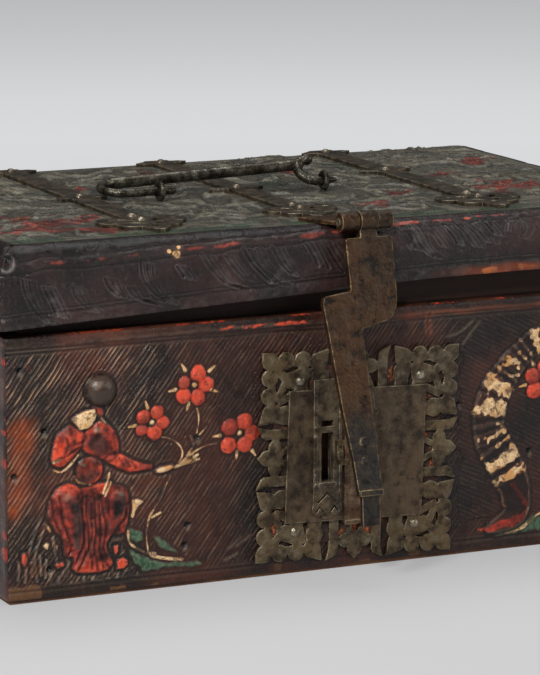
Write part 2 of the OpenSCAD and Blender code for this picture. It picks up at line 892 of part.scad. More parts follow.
// Strap from its finial over the lid and down the back to the hinge barrel
module strap(i) {
    x = strap_xs[i];
    bend_r = shoulder_r;
    bend_y = lid_d - bend_r;
    bend_z = lid_top - bend_r;
    tongue_low = barrel_z;
    color(iron) difference() {
        union() {
            translate([x, 0, lid_top]) linear_extrude(strap_t) {
                translate([-strap_w / 2, strap_front_y - 1]) square([strap_w, bend_y - strap_front_y + 1]);
                translate([0, strap_front_y]) finial(strap_finial_l(i), finial_w - finial_cut[i]);
                translate([0, knot_ys[i]]) wings(strap_w * 2.5);
                translate([0, wing_y]) wings(strap_w * 2.4);
            }
            translate([x, bend_y, bend_z]) intersection() {
                difference() {
                    rod_x(-strap_w / 2, strap_w / 2, bend_r + strap_t);
                    rod_x(-strap_w, strap_w, bend_r);
                }
                block([-strap_w, 0, 0], [strap_w, 2 * bend_r, 2 * bend_r]);
            }
            block([x - strap_w / 2, lid_d, ledge_h + rim_right + 1], [x + strap_w / 2, lid_d + strap_t, bend_z]);
            block([x - tongue_w / 2, lid_d, tongue_low], [x + tongue_w / 2, lid_d + strap_t, bend_z]);
            translate([x, barrel_y, barrel_z]) rod_x(-tongue_w / 2, tongue_w / 2, barrel_r);
        }
        translate([x, barrel_y, barrel_z]) rod_x(-tongue_w, tongue_w, lid_pin_r + pin_gap);
        strap_nail_places() nail_bore(strap_nail_l);
    }
}

module left_strap() {
    strap(0);
}

module middle_strap() {
    strap(1);
}

module right_strap() {
    strap(2);
}

module strap_nails() {
    color([0.45, 0.42, 0.36]) strap_nail_places() nail(strap_nail_l);
}

// Hasp and its hinge

hasp_knuckle_x = hasp_x - knuckle_w / 2;

// Leaf on the lid with the two outer knuckles
module hasp_leaf() {
    back = strap_front_y - strap_finial_l(1) - 1;
    color(brown_iron) difference() {
        union() {
            translate([0, 0, lid_top]) linear_extrude(strap_t) polygon([[leaf_left - 8, back],
                [leaf_right, back], [leaf_right, pin_y + 2.6], [leaf_left, pin_y + 2.6]]);
            translate([0, pin_y, pin_z]) rod_x(leaf_left, leaf_right, knuckle_r);
        }
        translate([0, pin_y, pin_z]) {
            rod_x(leaf_left - cut, leaf_right + cut, hasp_pin_r + pin_gap);
            rod_x(hasp_knuckle_x - knuckle_gap, hasp_knuckle_x + knuckle_w + knuckle_gap, knuckle_r + knuckle_grow + 0.3);
        }
    }
}

module hasp_pin() {
    color(iron) translate([0, pin_y, pin_z]) rod_x(leaf_left - 0.6, leaf_right + 0.6, hasp_pin_r);
}

// Turns what is drawn at the closed place out to where the hasp hangs
module hanging() {
    translate([0, pin_y, pin_z]) rotate([-hasp_swing, 0, 0]) translate([0, -pin_y, -pin_z]) children();
}

// Dog-legged outline, measured down from the pin
module hasp_outline() {
    l = hasp_x - hasp_top_w / 2;
    r = hasp_x + hasp_top_w / 2;
    left = l - hasp_step;
    neck = 6;
    tail_end = hasp_len - 11.5;
    tail_left = tail_x - tail_w / 2;
    translate([0, pin_z]) mirror([0, 1]) {
        polygon([[l + 1, neck], [r - 1, neck], [r, neck + 2], [r, hasp_drop + 3], [r - 0.6, hasp_drop + 6],
            [r - 2.6, hasp_drop + 9.6], [r - 4, hasp_drop + 10.6], [left + leg_w, hasp_drop + 13.2],
            [tail_x + tail_w / 2, tail_end], [tail_left, tail_end], [tail_left - 1.3, hasp_drop + 59],
            [tail_left - 3.6, hasp_drop + 43], [left + 1, hasp_drop + 12], [left, hasp_drop + 3.6],
            [left + 0.5, hasp_drop + 1.4], [left + 1.8, hasp_drop + 0.6], [l + 0.4, hasp_drop - 0.6], [l, neck + 2]]);
        translate([hasp_knuckle_x, 0]) square([knuckle_w, neck + 2]);
        translate([l + 1.2, neck + 1.2]) circle(1.2);
        translate([r - 1.2, neck + 1.2]) circle(1.2);
    }
}

module hasp() {
    fold = hasp_len - 12.5;
    tip_w = tail_w - 2.2;
    color(brown_iron) hanging() difference() {
        union() {
            on_front(hasp_back, hasp_t) hasp_outline();
            translate([0, pin_y, pin_z]) rod_x(hasp_knuckle_x, hasp_knuckle_x + knuckle_w, knuckle_r + knuckle_grow);
            on_front(hasp_back - hasp_t, 1)
                translate([tail_x - tail_w / 2, pin_z - fold - 1]) square([tail_w, 2]);
            translate([tail_x, pin_y, pin_z - fold]) rotate([8, 0, 0])
                block([-tip_w / 2, -hasp_t / 2, -12], [tip_w / 2, hasp_t / 2 - 0.4, 0]);
        }
        translate([0, pin_y, pin_z]) rod_x(hasp_knuckle_x - cut, hasp_knuckle_x + knuckle_w + cut, hasp_pin_r + pin_gap);
        rivet_places() nail_bore(hasp_t);
    }
}

rivet_x = staple_x + 3.6;
rivet_zs = [staple_z - staple_h / 2 + 1.2, staple_z + staple_h / 2 - 1.2];
foot_t = 0.8;

module rivet_places() {
    for (z = rivet_zs) translate([rivet_x, hasp_back - hasp_t, z]) rotate([90, 0, 0]) children();
}

// Staple on the hasp's back, which the bolt passes through
module hasp_staple() {
    leg = 2;
    low = staple_z - staple_h / 2;
    color(iron) hanging() {
        translate([staple_x, 0, 0]) along_x(staple_t) difference() {
            translate([hasp_back, low]) square([staple_reach - hasp_t / 2, staple_h]);
            translate([hasp_back + foot_t, low + leg])
                square([staple_reach - hasp_t / 2 - leg - foot_t, staple_h - 2 * leg]);
        }
        difference() {
            block([staple_x - staple_t / 2, hasp_back, low],
                [rivet_x + 2, hasp_back + foot_t, low + staple_h]);
            rivet_places() nail_bore(hasp_t + foot_t);
        }
    }
}

module hasp_rivets() {
    color(iron) hanging() rivet_places() nail(hasp_t + foot_t, 1.9, 0.45);
}

// Handle

hook_r = 6;
hook_lean = 29; // how much steeper the hook stands than the grip

module torus_half(radius, wire) {
    rotate_extrude(angle = 180) translate([radius, 0]) circle(wire);
}

// Wire eyes that stand on the lid, each with a shank through the board
module handle_eyes() {
    r = stub_r + pin_gap + eye_wire;
    color(iron) for (x = eye_x) translate([x, pivot_y, pivot_z]) {
        rotate([0, 90, 0]) rotate_extrude() translate([r, 0]) circle(eye_wire);
        translate([0, 0, rail_top - pivot_z - 1.5])
            cylinder(h = pivot_z - rail_top + 1.5 - r, r = eye_wire);
        translate([0, 0, rail_top - pivot_z - 1.5]) cylinder(h = 1.2, r = 2.6);
    }
}

// Bail with a grip, a turned-back left end and a hooked right end
module handle() {
    bend_r = grip_reach / 2;
    bend_x = eye_x[0] - bend_out;
    hook_x = eye_x[1] - 2.6;
    start = [bend_x, grip_reach, 0];
    end = [hook_x - hook_r * 0.82, hook_r * 1.57 * cos(hook_lean), hook_r * 1.57 * sin(hook_lean)];
    run = end - start;
    color(iron) translate([0, pivot_y, pivot_z]) rotate([handle_tilt, 0, 0]) {
        rod_x(bend_x, eye_x[0] + 5, stub_r);
        translate([eye_x[0] + 5, 0, 0]) sphere(stub_r);
        translate([bend_x, bend_r, 0]) rotate(90) torus_half(bend_r, stub_r);
        translate(start) {
            sphere(grip_r);
            rotate([0, acos(run[2] / norm(run)), atan2(run[1], run[0])])
                cylinder(h = norm(run), r = grip_r);
        }
        translate(end) sphere(grip_r + 0.3);
        rotate([hook_lean, 0, 0]) {
            translate([hook_x, hook_r, 0]) rotate(90) torus_half(hook_r, stub_r + 0.2);
            translate([hook_x, 2 * hook_r, 0]) sphere(stub_r + 0.7);
            rod_x(hook_x - 0.1, eye_x[1] + 2, stub_r);
            translate([eye_x[1] + 2, 0, 0]) rotate([0, 90, 0]) cylinder(h = 3.5, r1 = stub_r, r2 = 0.5);
        }
    }
}

bottom_board();
front_board();
back_board();
left_end_board();
right_end_board();
wall_pegs();
body_leather();
lock_underlay();
lock_plate();
lock_cover();
slot_frame();
guide_strip();
keyhole_guard();
plate_nails();
lock_base();
bolt_guides();
lock_spring();
lock_bolt();
hinge_leaf_left();
hinge_leaf_middle();
hinge_leaf_right();
hinge_pins();
leaf_nails();
lid_board();
lid_front_rail();
lid_back_rail();
lid_left_rail();
lid_right_rail();
lid_pegs();
lid_leather();
left_strap();
middle_strap();
right_strap();
strap_nails();
hasp_leaf();
hasp_pin();
handle_eyes();
hasp();
hasp_staple();
hasp_rivets();
handle();
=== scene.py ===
import math

import bpy
import numpy as np
from mathutils import Matrix, Vector


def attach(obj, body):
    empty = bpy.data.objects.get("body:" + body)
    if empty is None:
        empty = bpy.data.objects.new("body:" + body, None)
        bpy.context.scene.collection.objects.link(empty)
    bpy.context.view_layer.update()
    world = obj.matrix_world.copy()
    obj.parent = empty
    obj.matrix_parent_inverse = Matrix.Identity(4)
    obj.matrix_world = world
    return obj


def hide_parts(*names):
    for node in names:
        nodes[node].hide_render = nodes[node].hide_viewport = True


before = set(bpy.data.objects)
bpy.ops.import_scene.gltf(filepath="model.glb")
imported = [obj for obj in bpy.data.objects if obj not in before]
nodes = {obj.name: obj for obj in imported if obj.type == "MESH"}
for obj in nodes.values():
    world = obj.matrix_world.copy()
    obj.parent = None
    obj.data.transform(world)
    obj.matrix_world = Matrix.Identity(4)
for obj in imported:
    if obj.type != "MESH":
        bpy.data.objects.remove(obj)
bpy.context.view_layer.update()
mm = 0.001
cornerCut = 1 - math.sqrt(0.5)     # how far the middle of a rounded corner stands back, for a radius of 1
farAway = 1e6                      # millimetres, more than any sheet measures
print("stage: frame loaded")


# helpers for arrays over a sheet of leather, in millimetres

def smooth(low, high, v):
    t = np.clip((v - low) / (high - low), 0, 1)
    return t * t * (3 - 2 * t)


def softNoise(x, y, cell, seed):
    # from -1 to 1, with swellings about as wide as a cell
    size = 89
    grid = np.random.RandomState(seed).rand(size, size) * 2 - 1
    u, v = x / cell + 31.3, y / cell + 17.7
    i, j = np.floor(u).astype(int), np.floor(v).astype(int)
    fu, fv = u - i, v - j
    fu, fv = fu * fu * (3 - 2 * fu), fv * fv * (3 - 2 * fv)

    def corner(a, b):
        return grid[a % size, b % size]
    low = corner(i, j) * (1 - fu) + corner(i + 1, j) * fu
    high = corner(i, j + 1) * (1 - fu) + corner(i + 1, j + 1) * fu
    return low * (1 - fv) + high * fv


def toSegment(x, z, a, b):
    # distance to a straight piece, and how far along it the nearest point lies
    dx, dz = b[0] - a[0], b[1] - a[1]
    t = np.clip(((x - a[0]) * dx + (z - a[1]) * dz) / (dx * dx + dz * dz), 0, 1)
    return np.hypot(x - a[0] - t * dx, z - a[1] - t * dz), t


def toPath(x, z, points, width=0.0):
    # signed distance to a tapering stroke; width is one half width, or one for each point
    widths = width if isinstance(width, (list, tuple)) else [width] * len(points)
    best = np.full(x.shape, farAway)
    for a, b, wa, wb in zip(points[:-1], points[1:], widths[:-1], widths[1:]):
        d, t = toSegment(x, z, a, b)
        best = np.minimum(best, d - (wa + (wb - wa) * t))
    return best


def alongPath(x, z, points, widths):
    # distance along, and signed distance to the edge of, a band
    best, edge = np.full(x.shape, farAway), np.full(x.shape, farAway)
    along, run = np.zeros(x.shape), 0.0
    for a, b, wa, wb in zip(points[:-1], points[1:], widths[:-1], widths[1:]):
        size = math.dist(a, b)
        d, t = toSegment(x, z, a, b)
        closer = d < best
        best = np.where(closer, d, best)
        edge = np.where(closer, d - (wa + (wb - wa) * t), edge)
        along = np.where(closer, run + t * size, along)
        run += size
    return along, edge


def curve(points, steps=6):
    # smooth line through given points
    p = np.array([points[0], *points, points[-1]], float)
    t = (np.arange(steps) / steps)[:, None]
    runs = [0.5 * (2 * b + (c - a) * t + (2 * a - 5 * b + 4 * c - d) * t * t + (3 * b - a - 3 * c + d) * t ** 3)
            for a, b, c, d in zip(p, p[1:], p[2:], p[3:])]
    return [tuple(point) for point in np.concatenate(runs + [p[-1:]])]


def spread(values, count):
    # a few values spread evenly over more points
    return list(np.interp(np.linspace(0, len(values) - 1, count), range(len(values)), values))


def groove(distance, width):
    # 1 along a line, fading beside it
    return np.exp(-(distance / width) ** 2)


def paintEdge(distance, blur=4.0, most=1.0):
    # 0.5 on the edge of a painted form, the most well inside
    return np.clip(0.5 - distance / blur, 0, most)


# the layer and channel that holds each mark, from 0 to 1
marks = {"red": ("paint", 0), "green": ("paint", 1), "cream": ("paint", 2), "worn": ("paint", 3),
         "line": ("form", 0), "hatch": ("form", 1), "polish": ("form", 2), "light": ("form", 3),
         "rust": ("tone", 0), "crimson": ("tone", 1), "shade": ("tone", 2), "faint": ("tone", 3)}


class Sheet:
    # one patch of leather: base points, outward normals, relief and the marks on it
    fields = ("point", "normal", "u", "v", "height", "paint", "form", "tone")

    def __init__(self, point, normal, u, v):
        self.point, self.u, self.v = point, u, v
        self.normal = np.broadcast_to(np.array(normal, float), point.shape)
        self.height = np.zeros(u.shape)
        self.paint, self.form, self.tone = np.zeros((3,) + u.shape + (4,))
        self.keep = np.ones((u.shape[0] - 1, u.shape[1] - 1), bool)

    def layer(self, mark):
        kind, channel = marks[mark]
        return getattr(self, kind)[..., channel]

    def add(self, mark, value):
        layer = self.layer(mark)
        layer[:] = np.maximum(layer, value)

    def fade(self, mark, share):
        self.layer(mark)[:] *= share

    def erase(self, mark, where, value=0.0):
        self.layer(mark)[where] = value

    def noise(self, cell, seed):
        return softNoise(self.u, self.v, cell, seed)

    def wander(self, cell, seed):
        # unevenness of a line that runs along the sheet
        return softNoise(self.u, self.v * 0, cell, seed)

    def disc(self, centre, radius, wide=1.0, tall=1.0):
        return np.hypot((self.u - centre[0]) * wide, (self.v - centre[1]) * tall) - radius

    def path(self, points, width=0.0):
        return toPath(self.u, self.v, points, width)

    def taper(self, line, widths, steps):
        points = curve(line, steps)
        return self.path(points, spread(widths, len(points)))

    def outline(self, points):
        # signed distance to a closed outline, negative inside
        x, z, inside = self.u, self.v, np.zeros(self.u.shape, bool)
        for a, b in zip(points, points[1:] + points[:1]):
            if b[1] != a[1]:
                inside ^= ((a[1] > z) != (b[1] > z)) & (x < a[0] + (z - a[1]) * (b[0] - a[0]) / (b[1] - a[1]))
        distance = self.path(points + points[:1])
        return np.where(inside, -distance, distance)

    def cut(self, distance, deep, wide, dark=0.0, darkWide=None):
        # a groove pressed in along a line, with dirt in it
        self.height -= deep * groove(distance, wide)
        self.add("line", dark * groove(distance, darkWide or wide))

    def swell(self, distance, rise, wide):
        # round cushion inside an outline
        self.height = np.maximum(self.height, rise * np.sqrt(np.clip(-distance / wide, 0, 1)))

    def wearAndHollowShade(self, ridge, hollow):
        # ridges are painted lighter as rubbed wear, and hollows darker as painted shade
        padded = np.pad(self.height, 2, mode="edge")
        rows, cols = self.height.shape
        mean = sum(padded[i:i + rows, j:j + cols] for i in range(5) for j in range(5)) / 25
        rise = (self.height - mean) / 0.16
        dull = 1 - 0.8 * smooth(0.3, 0.6, np.maximum(self.paint[..., :3].max(-1), self.layer("polish")))
        self.add("light", ridge * dull * np.clip(rise - 0.15, 0, 1))
        self.add("line", hollow * np.clip(-rise - 0.15, 0, 1))

    def mirror(self):
        for key in self.fields:
            setattr(self, key, getattr(self, key)[:, ::-1])

    def hem(self, depth):
        # folds the lowest row in, so that the cut edge has its thickness
        shift = {"point": self.normal[:1] * depth, "v": depth}
        for key in self.fields:
            part = getattr(self, key)
            setattr(self, key, np.concatenate([part[:1] - shift.get(key, 0), part]))
        self.keep = np.concatenate([self.keep[:1], self.keep])


def sheetObject(name, sheets, body, node):
    points, faces, start = [], [], 0
    for s in sheets:
        rows, cols = s.u.shape
        points.append((s.point + s.normal * s.height[..., None]).reshape(-1, 3) * mm)
        index = np.arange(rows * cols).reshape(rows, cols) + start
        quads = np.stack([index[:-1, :-1], index[:-1, 1:], index[1:, 1:], index[1:, :-1]], -1)
        faces.append(quads[s.keep])
        s.sheet = np.stack([s.u, s.v, np.zeros(s.u.shape)], -1)
        start += rows * cols
    points, faces = np.concatenate(points), np.concatenate(faces)
    mesh = bpy.data.meshes.new(name)
    mesh.from_pydata(points.tolist(), [], faces.tolist())
    mesh.polygons.foreach_set("use_smooth", np.ones(len(faces), bool))
    for key, size in (("sheet", 3), ("paint", 4), ("form", 4), ("tone", 4)):
        kind, field = ("FLOAT_VECTOR", "vector") if size == 3 else ("FLOAT_COLOR", "color")
        values = np.concatenate([getattr(s, key).reshape(-1, size) for s in sheets])
        mesh.attributes.new(key, kind, "POINT").data.foreach_set(field, values.astype(np.float32).ravel())
    obj = bpy.data.objects.new(name, mesh)
    bpy.context.scene.collection.objects.link(obj)
    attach(obj, body)
    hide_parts(node)
    print("stage:", name, len(faces), "faces")
    return obj


def spaced(low, high, cell):
    return np.linspace(low, high, int(round((high - low) / cell)) + 1)


# body of the coffer, in the frame's millimetres
bodySkin = {
    "halfWidth": 135.0, "halfDepth": 85.0, "low": 1.0, "top": 96.0, "lipWidth": 128.3, "lipDepth": 78.3,
    "corner": 1.6, "thick": 1.2, "frontCell": 0.52, "cell": 1.3}


def cornerFall(r, *distances):
    # how far a rounded edge falls back at these distances from the edges
    deep = sum(np.clip(r - d, 0, r) ** 2 for d in distances)
    return r - np.sqrt(np.clip(r * r - deep, 0, None))


def wallSheet(origin, across, length, cell):
    low, top, corner = (bodySkin[key] for key in ("low", "top", "corner"))
    inset = corner * cornerCut
    u, v = np.meshgrid(spaced(inset, length - inset, cell), spaced(low + inset, top - inset, cell))
    point = np.array(origin) + u[..., None] * np.array(across) + v[..., None] * np.array([0, 0, 1.0])
    fall = cornerFall(corner, u, length - u) + cornerFall(corner, top - v) + cornerFall(corner * 0.6, v - low)
    normal = np.array([across[1], -across[0], 0.0])
    return Sheet(point - normal * fall[..., None], normal, u, v)


plate = {
    "centre": (1.5, 43.0), "width": 79.5, "height": 77.5, "lean": 2.0,
    # open behind it, where the lock sits in the board: half width, from and to which height
    "open": (24.4, 32.6, 67.2)}

# figure and flowers on the front: x and z of points on the leather
figure = {
    "head": (-99.3, 74.9), "headRadius": 5.7, "headRise": 4.8,
    "collar": [(-110.8, 65.2), (-108.4, 66.9), (-105.3, 68.3), (-101.4, 68.6), (-100.6, 66.1), (-101.1, 64.2),
        (-102.6, 62.7), (-104.2, 61.3), (-107.2, 60.7), (-109, 62.9)],
    "collarTip": [(-100.4, 66.2), (-98.4, 65), (-96.4, 62.4), (-97.4, 61.8), (-99.3, 63.8)],
    "neck": [(-100.9, 69.6), (-99.6, 66.6)],
    "chest": [(-105.4, 60.6), (-102, 62.8), (-98.4, 64.8), (-95.7, 62.2), (-93.2, 59.1), (-92.2, 55.4), (-92.2, 51.6),
        (-96, 48.6), (-101, 50.2), (-105.2, 52.4), (-106.8, 55)],
    "belly": (-100.4, 56.2), "bellyRadius": 4.9,
    "sleeve": [(-111.1, 63.6), (-108.4, 61.9), (-105.4, 60), (-104.8, 58.5), (-106, 56), (-107, 54.3), (-109.1, 51.9),
        (-111.2, 49.8), (-113.3, 48.3), (-115.5, 47.9), (-117.8, 49.3), (-118.6, 51.4), (-117.8, 55.1),
        (-116.9, 58.4), (-115.9, 60.6), (-113.5, 62.1)],
    "sleeveFolds": [[(-117.2, 50.8), (-115.1, 51.9), (-113.3, 52.1), (-110, 53.8), (-107.5, 55)],
        [(-109.9, 57.5), (-108.7, 56.4), (-106, 56.7)], [(-112.6, 58.6), (-112, 55.4), (-113.4, 53)]],
    "arm": [(-96.4, 51.4), (-93.6, 51.6), (-91.2, 51.2), (-89.3, 50.1), (-86.6, 48.4), (-82.9, 47.2), (-79.3, 46),
        (-79.6, 44.4), (-84.4, 43.9), (-88.1, 43.8), (-91.8, 45.2), (-94.2, 46.6), (-97, 48.3), (-98.2, 49.8)],
    "armFolds": [[(-92.6, 49.6), (-90.6, 47)], [(-90.4, 49.2), (-88.6, 46.2)], [(-87.4, 47.8), (-86, 45.4)]],
    "hand": [(-78.6, 44.3), (-76.4, 45.3), (-72, 45.8), (-70.4, 44.4), (-73.2, 42.9), (-76.8, 42.3), (-78.6, 43)],
    "waist": (-103.7, 46.2), "waistRadius": 5.3,
    "skirt": [(-116.4, 40.4), (-114.5, 41.6), (-111.8, 42.3), (-110.1, 41.8), (-107.5, 40), (-103.4, 40.4),
        (-101.3, 40.8), (-98.2, 41.4), (-95.4, 41), (-93.4, 39.6), (-91.4, 39.4), (-89.4, 38.1), (-88.5, 35.4),
        (-88.4, 31.2), (-89.3, 25.4), (-90.4, 22.3), (-92.9, 21.8), (-94.9, 23), (-96.3, 20.9), (-97.6, 18.8),
        (-97, 15.7), (-94.8, 11.4), (-96.8, 9.5), (-100.2, 8.9), (-105, 9), (-109.1, 9.6), (-110.6, 11.3),
        (-109.8, 13.4), (-110.4, 15.3), (-113.4, 16.1), (-113.8, 19.4), (-113.8, 21.7), (-114.7, 23.4),
        (-116.4, 25.2), (-117.7, 27.6), (-119.4, 29.1), (-119.8, 32.4), (-119, 35.9), (-117.8, 38.4)],
    # line, half widths, rise
    "legs": [([(-112.8, 37.2), (-109.6, 29), (-108.8, 19)], [4.5, 3.7, 2.4], 1.9),
        ([(-92.6, 34.8), (-93.4, 29), (-96, 23.4)], [4, 3.7, 2.2], 1.7)],
    "folds": [[(-106.4, 36.7), (-106.6, 32.7), (-106.3, 27.1), (-106.1, 20.9), (-108, 15.6), (-110.1, 11.6)],
        [(-104.8, 37.2), (-105.1, 31.2), (-104.5, 25.6), (-104.2, 19.7), (-103.6, 14.5)],
        [(-103, 34), (-103.3, 28.1), (-103, 23.5), (-103.9, 18.7), (-106, 14.1), (-108.4, 10.4)],
        [(-101.7, 36), (-101.9, 29), (-101.5, 23.4), (-102.3, 18.6), (-101.5, 13.6), (-100.7, 9.6)],
        [(-100.4, 34), (-99.8, 27), (-99.8, 21.2), (-100.1, 16.7), (-98.1, 12.6), (-96.4, 10.1)],
        [(-99.4, 36.6), (-98.7, 30.3), (-97.4, 25.5), (-98, 21), (-98.6, 17.4), (-97.4, 13.6)],
        [(-95.6, 20.8), (-93.4, 24.6), (-90.6, 27.5), (-89.7, 31)],
        [(-115.6, 37.8), (-114.5, 32.5), (-113.9, 27.9), (-112, 23.2), (-110.9, 20.1), (-111.6, 16.6)],
        [(-118, 37), (-117.7, 32.2), (-116.4, 27.5), (-114.4, 23.7)], [(-112.4, 16.2), (-109.9, 18.2)],
        [(-105.4, 17), (-106.8, 12.6)], [(-102.6, 15.6), (-103.2, 10.2)], [(-99.3, 15), (-98.6, 10.2)]],
    # dark worn places: line, half widths, strength
    "rubbed": [
        ([(-112.2, 36), (-109.4, 33), (-108.9, 28.7), (-108.8, 24.1), (-109, 19.3)], [1, 2.1, 2.2, 1.8, 1.1], 0.95),
        ([(-92.4, 35), (-92.8, 32.4), (-94.4, 28.6)], [2.4, 2.7, 1.1], 0.95),
        ([(-104.6, 46), (-103.2, 44)], [1.6, 1.4], 0.8), ([(-101, 51.8), (-97.6, 52.4)], [1.6, 1.6], 0.7),
        ([(-97.6, 60.6), (-96.4, 58.6)], [1, 0.8], 0.8), ([(-102.4, 39), (-100.8, 37.6)], [1.6, 1.2], 0.7),
        ([(-97.6, 24.4), (-99.2, 26)], [1.4, 1], 0.6)],
    "edging": [[(-117.2, 47.4), (-114.4, 46.6), (-111.4, 48.6), (-108, 52.2)],
        [(-109.3, 44.6), (-108.1, 42.6), (-105.7, 41.5), (-103.4, 41.1)], [(-96, 44.4), (-96.8, 41.6)],
        [(-97.4, 40.8), (-99, 37.2)], [(-95.4, 41.4), (-98, 36.4)], [(-107.4, 48.9), (-106, 48.5)],
        [(-107.8, 61.4), (-104.4, 61.8), (-102.6, 62.9)], [(-117.6, 50.4), (-115.6, 51.4)]],
    "leaves": [[(-120.4, 28.6), (-119.4, 27.8), (-118.3, 25.1), (-119.1, 25.2), (-120.3, 26.9)],
        [(-121.7, 20.6), (-120.3, 21.7), (-119.1, 21), (-119.8, 18.9), (-120.8, 19.5)],
        [(-117, 20.4), (-115.8, 20), (-116.4, 18.2)]],
    "scraps": [[(-116.8, 13.9), (-113.8, 14.4), (-113.3, 12.4), (-115.8, 11.5), (-117.5, 13)],
        [(-95, 18.1), (-92.6, 18.2), (-92.8, 15.3), (-94.3, 14.1)],
        [(-93.6, 12.4), (-91.2, 13.5), (-89.2, 12.2), (-89, 10.2), (-90.9, 8.8), (-93.8, 8.8)],
        [(-129.9, 18.9), (-127.9, 19), (-127.5, 15.7), (-128.7, 13.2), (-129.8, 15)]],
    # painted highlights on the crown, the knees, the shoulder and the top of the belly
    "paintedHighlights": [((-101.4, 77.2), 2.2, 0.75), ((-112.6, 38), 1.5, 0.5), ((-93, 37.6), 1.2, 0.45),
        ((-112.8, 60.4), 1, 0.4), ((-100.8, 60.8), 1.1, 0.8)],
    "tufts": [[(-124, 8), (-124.6, 17), (-121.4, 26), (-119.4, 32)], [(-128.4, 8), (-127.4, 17), (-124.6, 25)],
        [(-120.8, 9), (-120.4, 15)], [(-131, 9), (-130.6, 15)], [(-126.4, 22), (-122.2, 30.6)],
        [(-117.8, 23), (-116.2, 12)], [(-125.8, 10), (-125.8, 15)], [(-122.4, 10), (-122.8, 17)]],
    "stone": [(-87.3, 34), (-85.3, 34.1), (-82.8, 32.9), (-84.9, 31.5), (-86.3, 29.4), (-86.7, 27.1), (-87.9, 27.5),
        (-87.5, 30.8)]}
flowers = {
    "centre": 1.2,
    # centre, petals as x, z and radius beside it, white leaves as x and z beside it
    "blooms": [((-79.7, 61.4), [(-3.4, 2.1, 3), (2.1, 3.5, 2.8), (4.2, -0.2, 2.7), (0.8, -3.8, 3.2),
        (-3.8, -2.4, 2.5)], [(-2, 6.4), (-7.4, -0.8)]),
        ((-63.2, 73.7), [(1.5, 3.9, 3.5), (4.7, -0.3, 3.2), (1.4, -4.7, 3.3), (-4.2, -3.6, 3.3), (-4, 0.9, 2.8)],
        [(-4.2, 6.6), (6.8, 5.2), (7.6, -2.8), (-2.4, -7.6), (-8.4, -1.4)]),
        ((-45.6, 54.6), [(2, 4, 3.4), (5.1, -0.4, 3.2), (2.2, -4.5, 3.4), (-4.3, -4.2, 3.4), (-3.8, 2.4, 3.5)],
        [(-8.8, -0.4), (-1, -8), (5.6, -7.8)]),
        ((78.6, 63.6), [(1, 4.6, 3.6), (5, 0.4, 3.4), (2.6, -4.4, 3.6), (-3.4, -3.8, 3.6), (-4.4, 1.6, 3.4)],
        [(-4.4, 6.8), (-8.2, -1.6), (7.4, -4.6), (6, 5.8)]),
        ((97.2, 53), [(0.4, 4.6, 3.3), (4.6, 1.2, 3.2), (2.8, -4, 3.3), (-3, -4, 3.2), (-4.6, 1, 3.3)],
        [(4.6, 6.4), (-7.8, -2), (0.4, -8.2)]),
        ((120, 65.4), [(1.4, 4.2, 3.2), (4.8, -0.2, 3.1), (1.6, -4.4, 3.2), (-3.8, -3.2, 3.1), (-3.8, 1.8, 3.2)],
        [(-3.6, 6.8), (7.4, 3.4), (-7.6, -0.8)]),
        ((110.6, 39.6), [(-0.6, 4.4, 3.2), (4.2, 1.8, 3.1), (3.2, -3.6, 3.2), (-2.4, -4.2, 3), (-4.6, 0.4, 3.2)],
        [(-5.6, 5.4), (7.6, -0.8), (-1.4, -8)])],
    "stems": [[(-69.4, 46), (-68, 48.4), (-68.7, 51.8), (-72.1, 54.6), (-76.3, 55.9)],
        [(-65.4, 47.6), (-63.8, 48.9), (-59.6, 50.9), (-54.3, 51.6)],
        [(-66, 48), (-63.8, 51.3), (-62, 54.4), (-58.5, 58)], [(-63.6, 52), (-64.8, 55.3)],
        [(-62.4, 55.8), (-61.5, 60.9), (-62.2, 65)], [(-72.6, 41.4), (-73.2, 40), (-74.9, 37.3), (-76.7, 32.9),
        (-79.8, 28.6), (-81.2, 25.5), (-81.9, 20.3), (-81.3, 13.9)], [(-79.8, 26.7), (-76.4, 28.2)],
        [(-80.9, 14), (-78.6, 13.4)], [(-74, 39), (-76, 34), (-78.8, 30.6)],
        [(88.8, 12), (92, 26), (92.4, 40), (95, 48)], [(92.2, 32), (100, 33), (106, 36)],
        [(92.6, 42), (84, 50), (80.4, 57)], [(104, 34.4), (114, 46), (118.6, 59)], [(91, 22), (84.4, 27)]],
    "bundle": [[(-70.6, 44.6), (-66.4, 47), (-64, 48.6)], [(-71, 44), (-66.8, 45.2), (-61.4, 46.4)],
        [(-70.6, 44.4), (-66, 46), (-62, 48)]],
    "mounds": [[(-90.2, 24.8), (-83.3, 22.6), (-82.6, 18.4), (-86.1, 16.8), (-89.2, 19.8)],
        [(-80.5, 20.8), (-77.1, 19.8), (-72.9, 16.8), (-69.4, 12.4), (-74.3, 13.6), (-77.8, 15.6)],
        [(-90.9, 18.6), (-84.7, 14.2), (-76.4, 10.5), (-58.9, 8.7), (-59.6, 6.4), (-69.5, 7.2), (-83.4, 7.2),
        (-87.5, 11.1)],
        [(60, 6), (68.6, 6.6), (78.6, 12.4), (92, 14.6), (106, 13), (126, 10.6), (128, 6.4), (100, 4.8)]],
    "groundLines": [[(-89.3, 22.6), (-88.9, 19.1), (-86.1, 16.2), (-81.3, 13.4), (-76.4, 11.5), (-68.1, 10)],
        [(60, 5.6), (70, 7.4), (79, 12.6), (92, 15)]]}
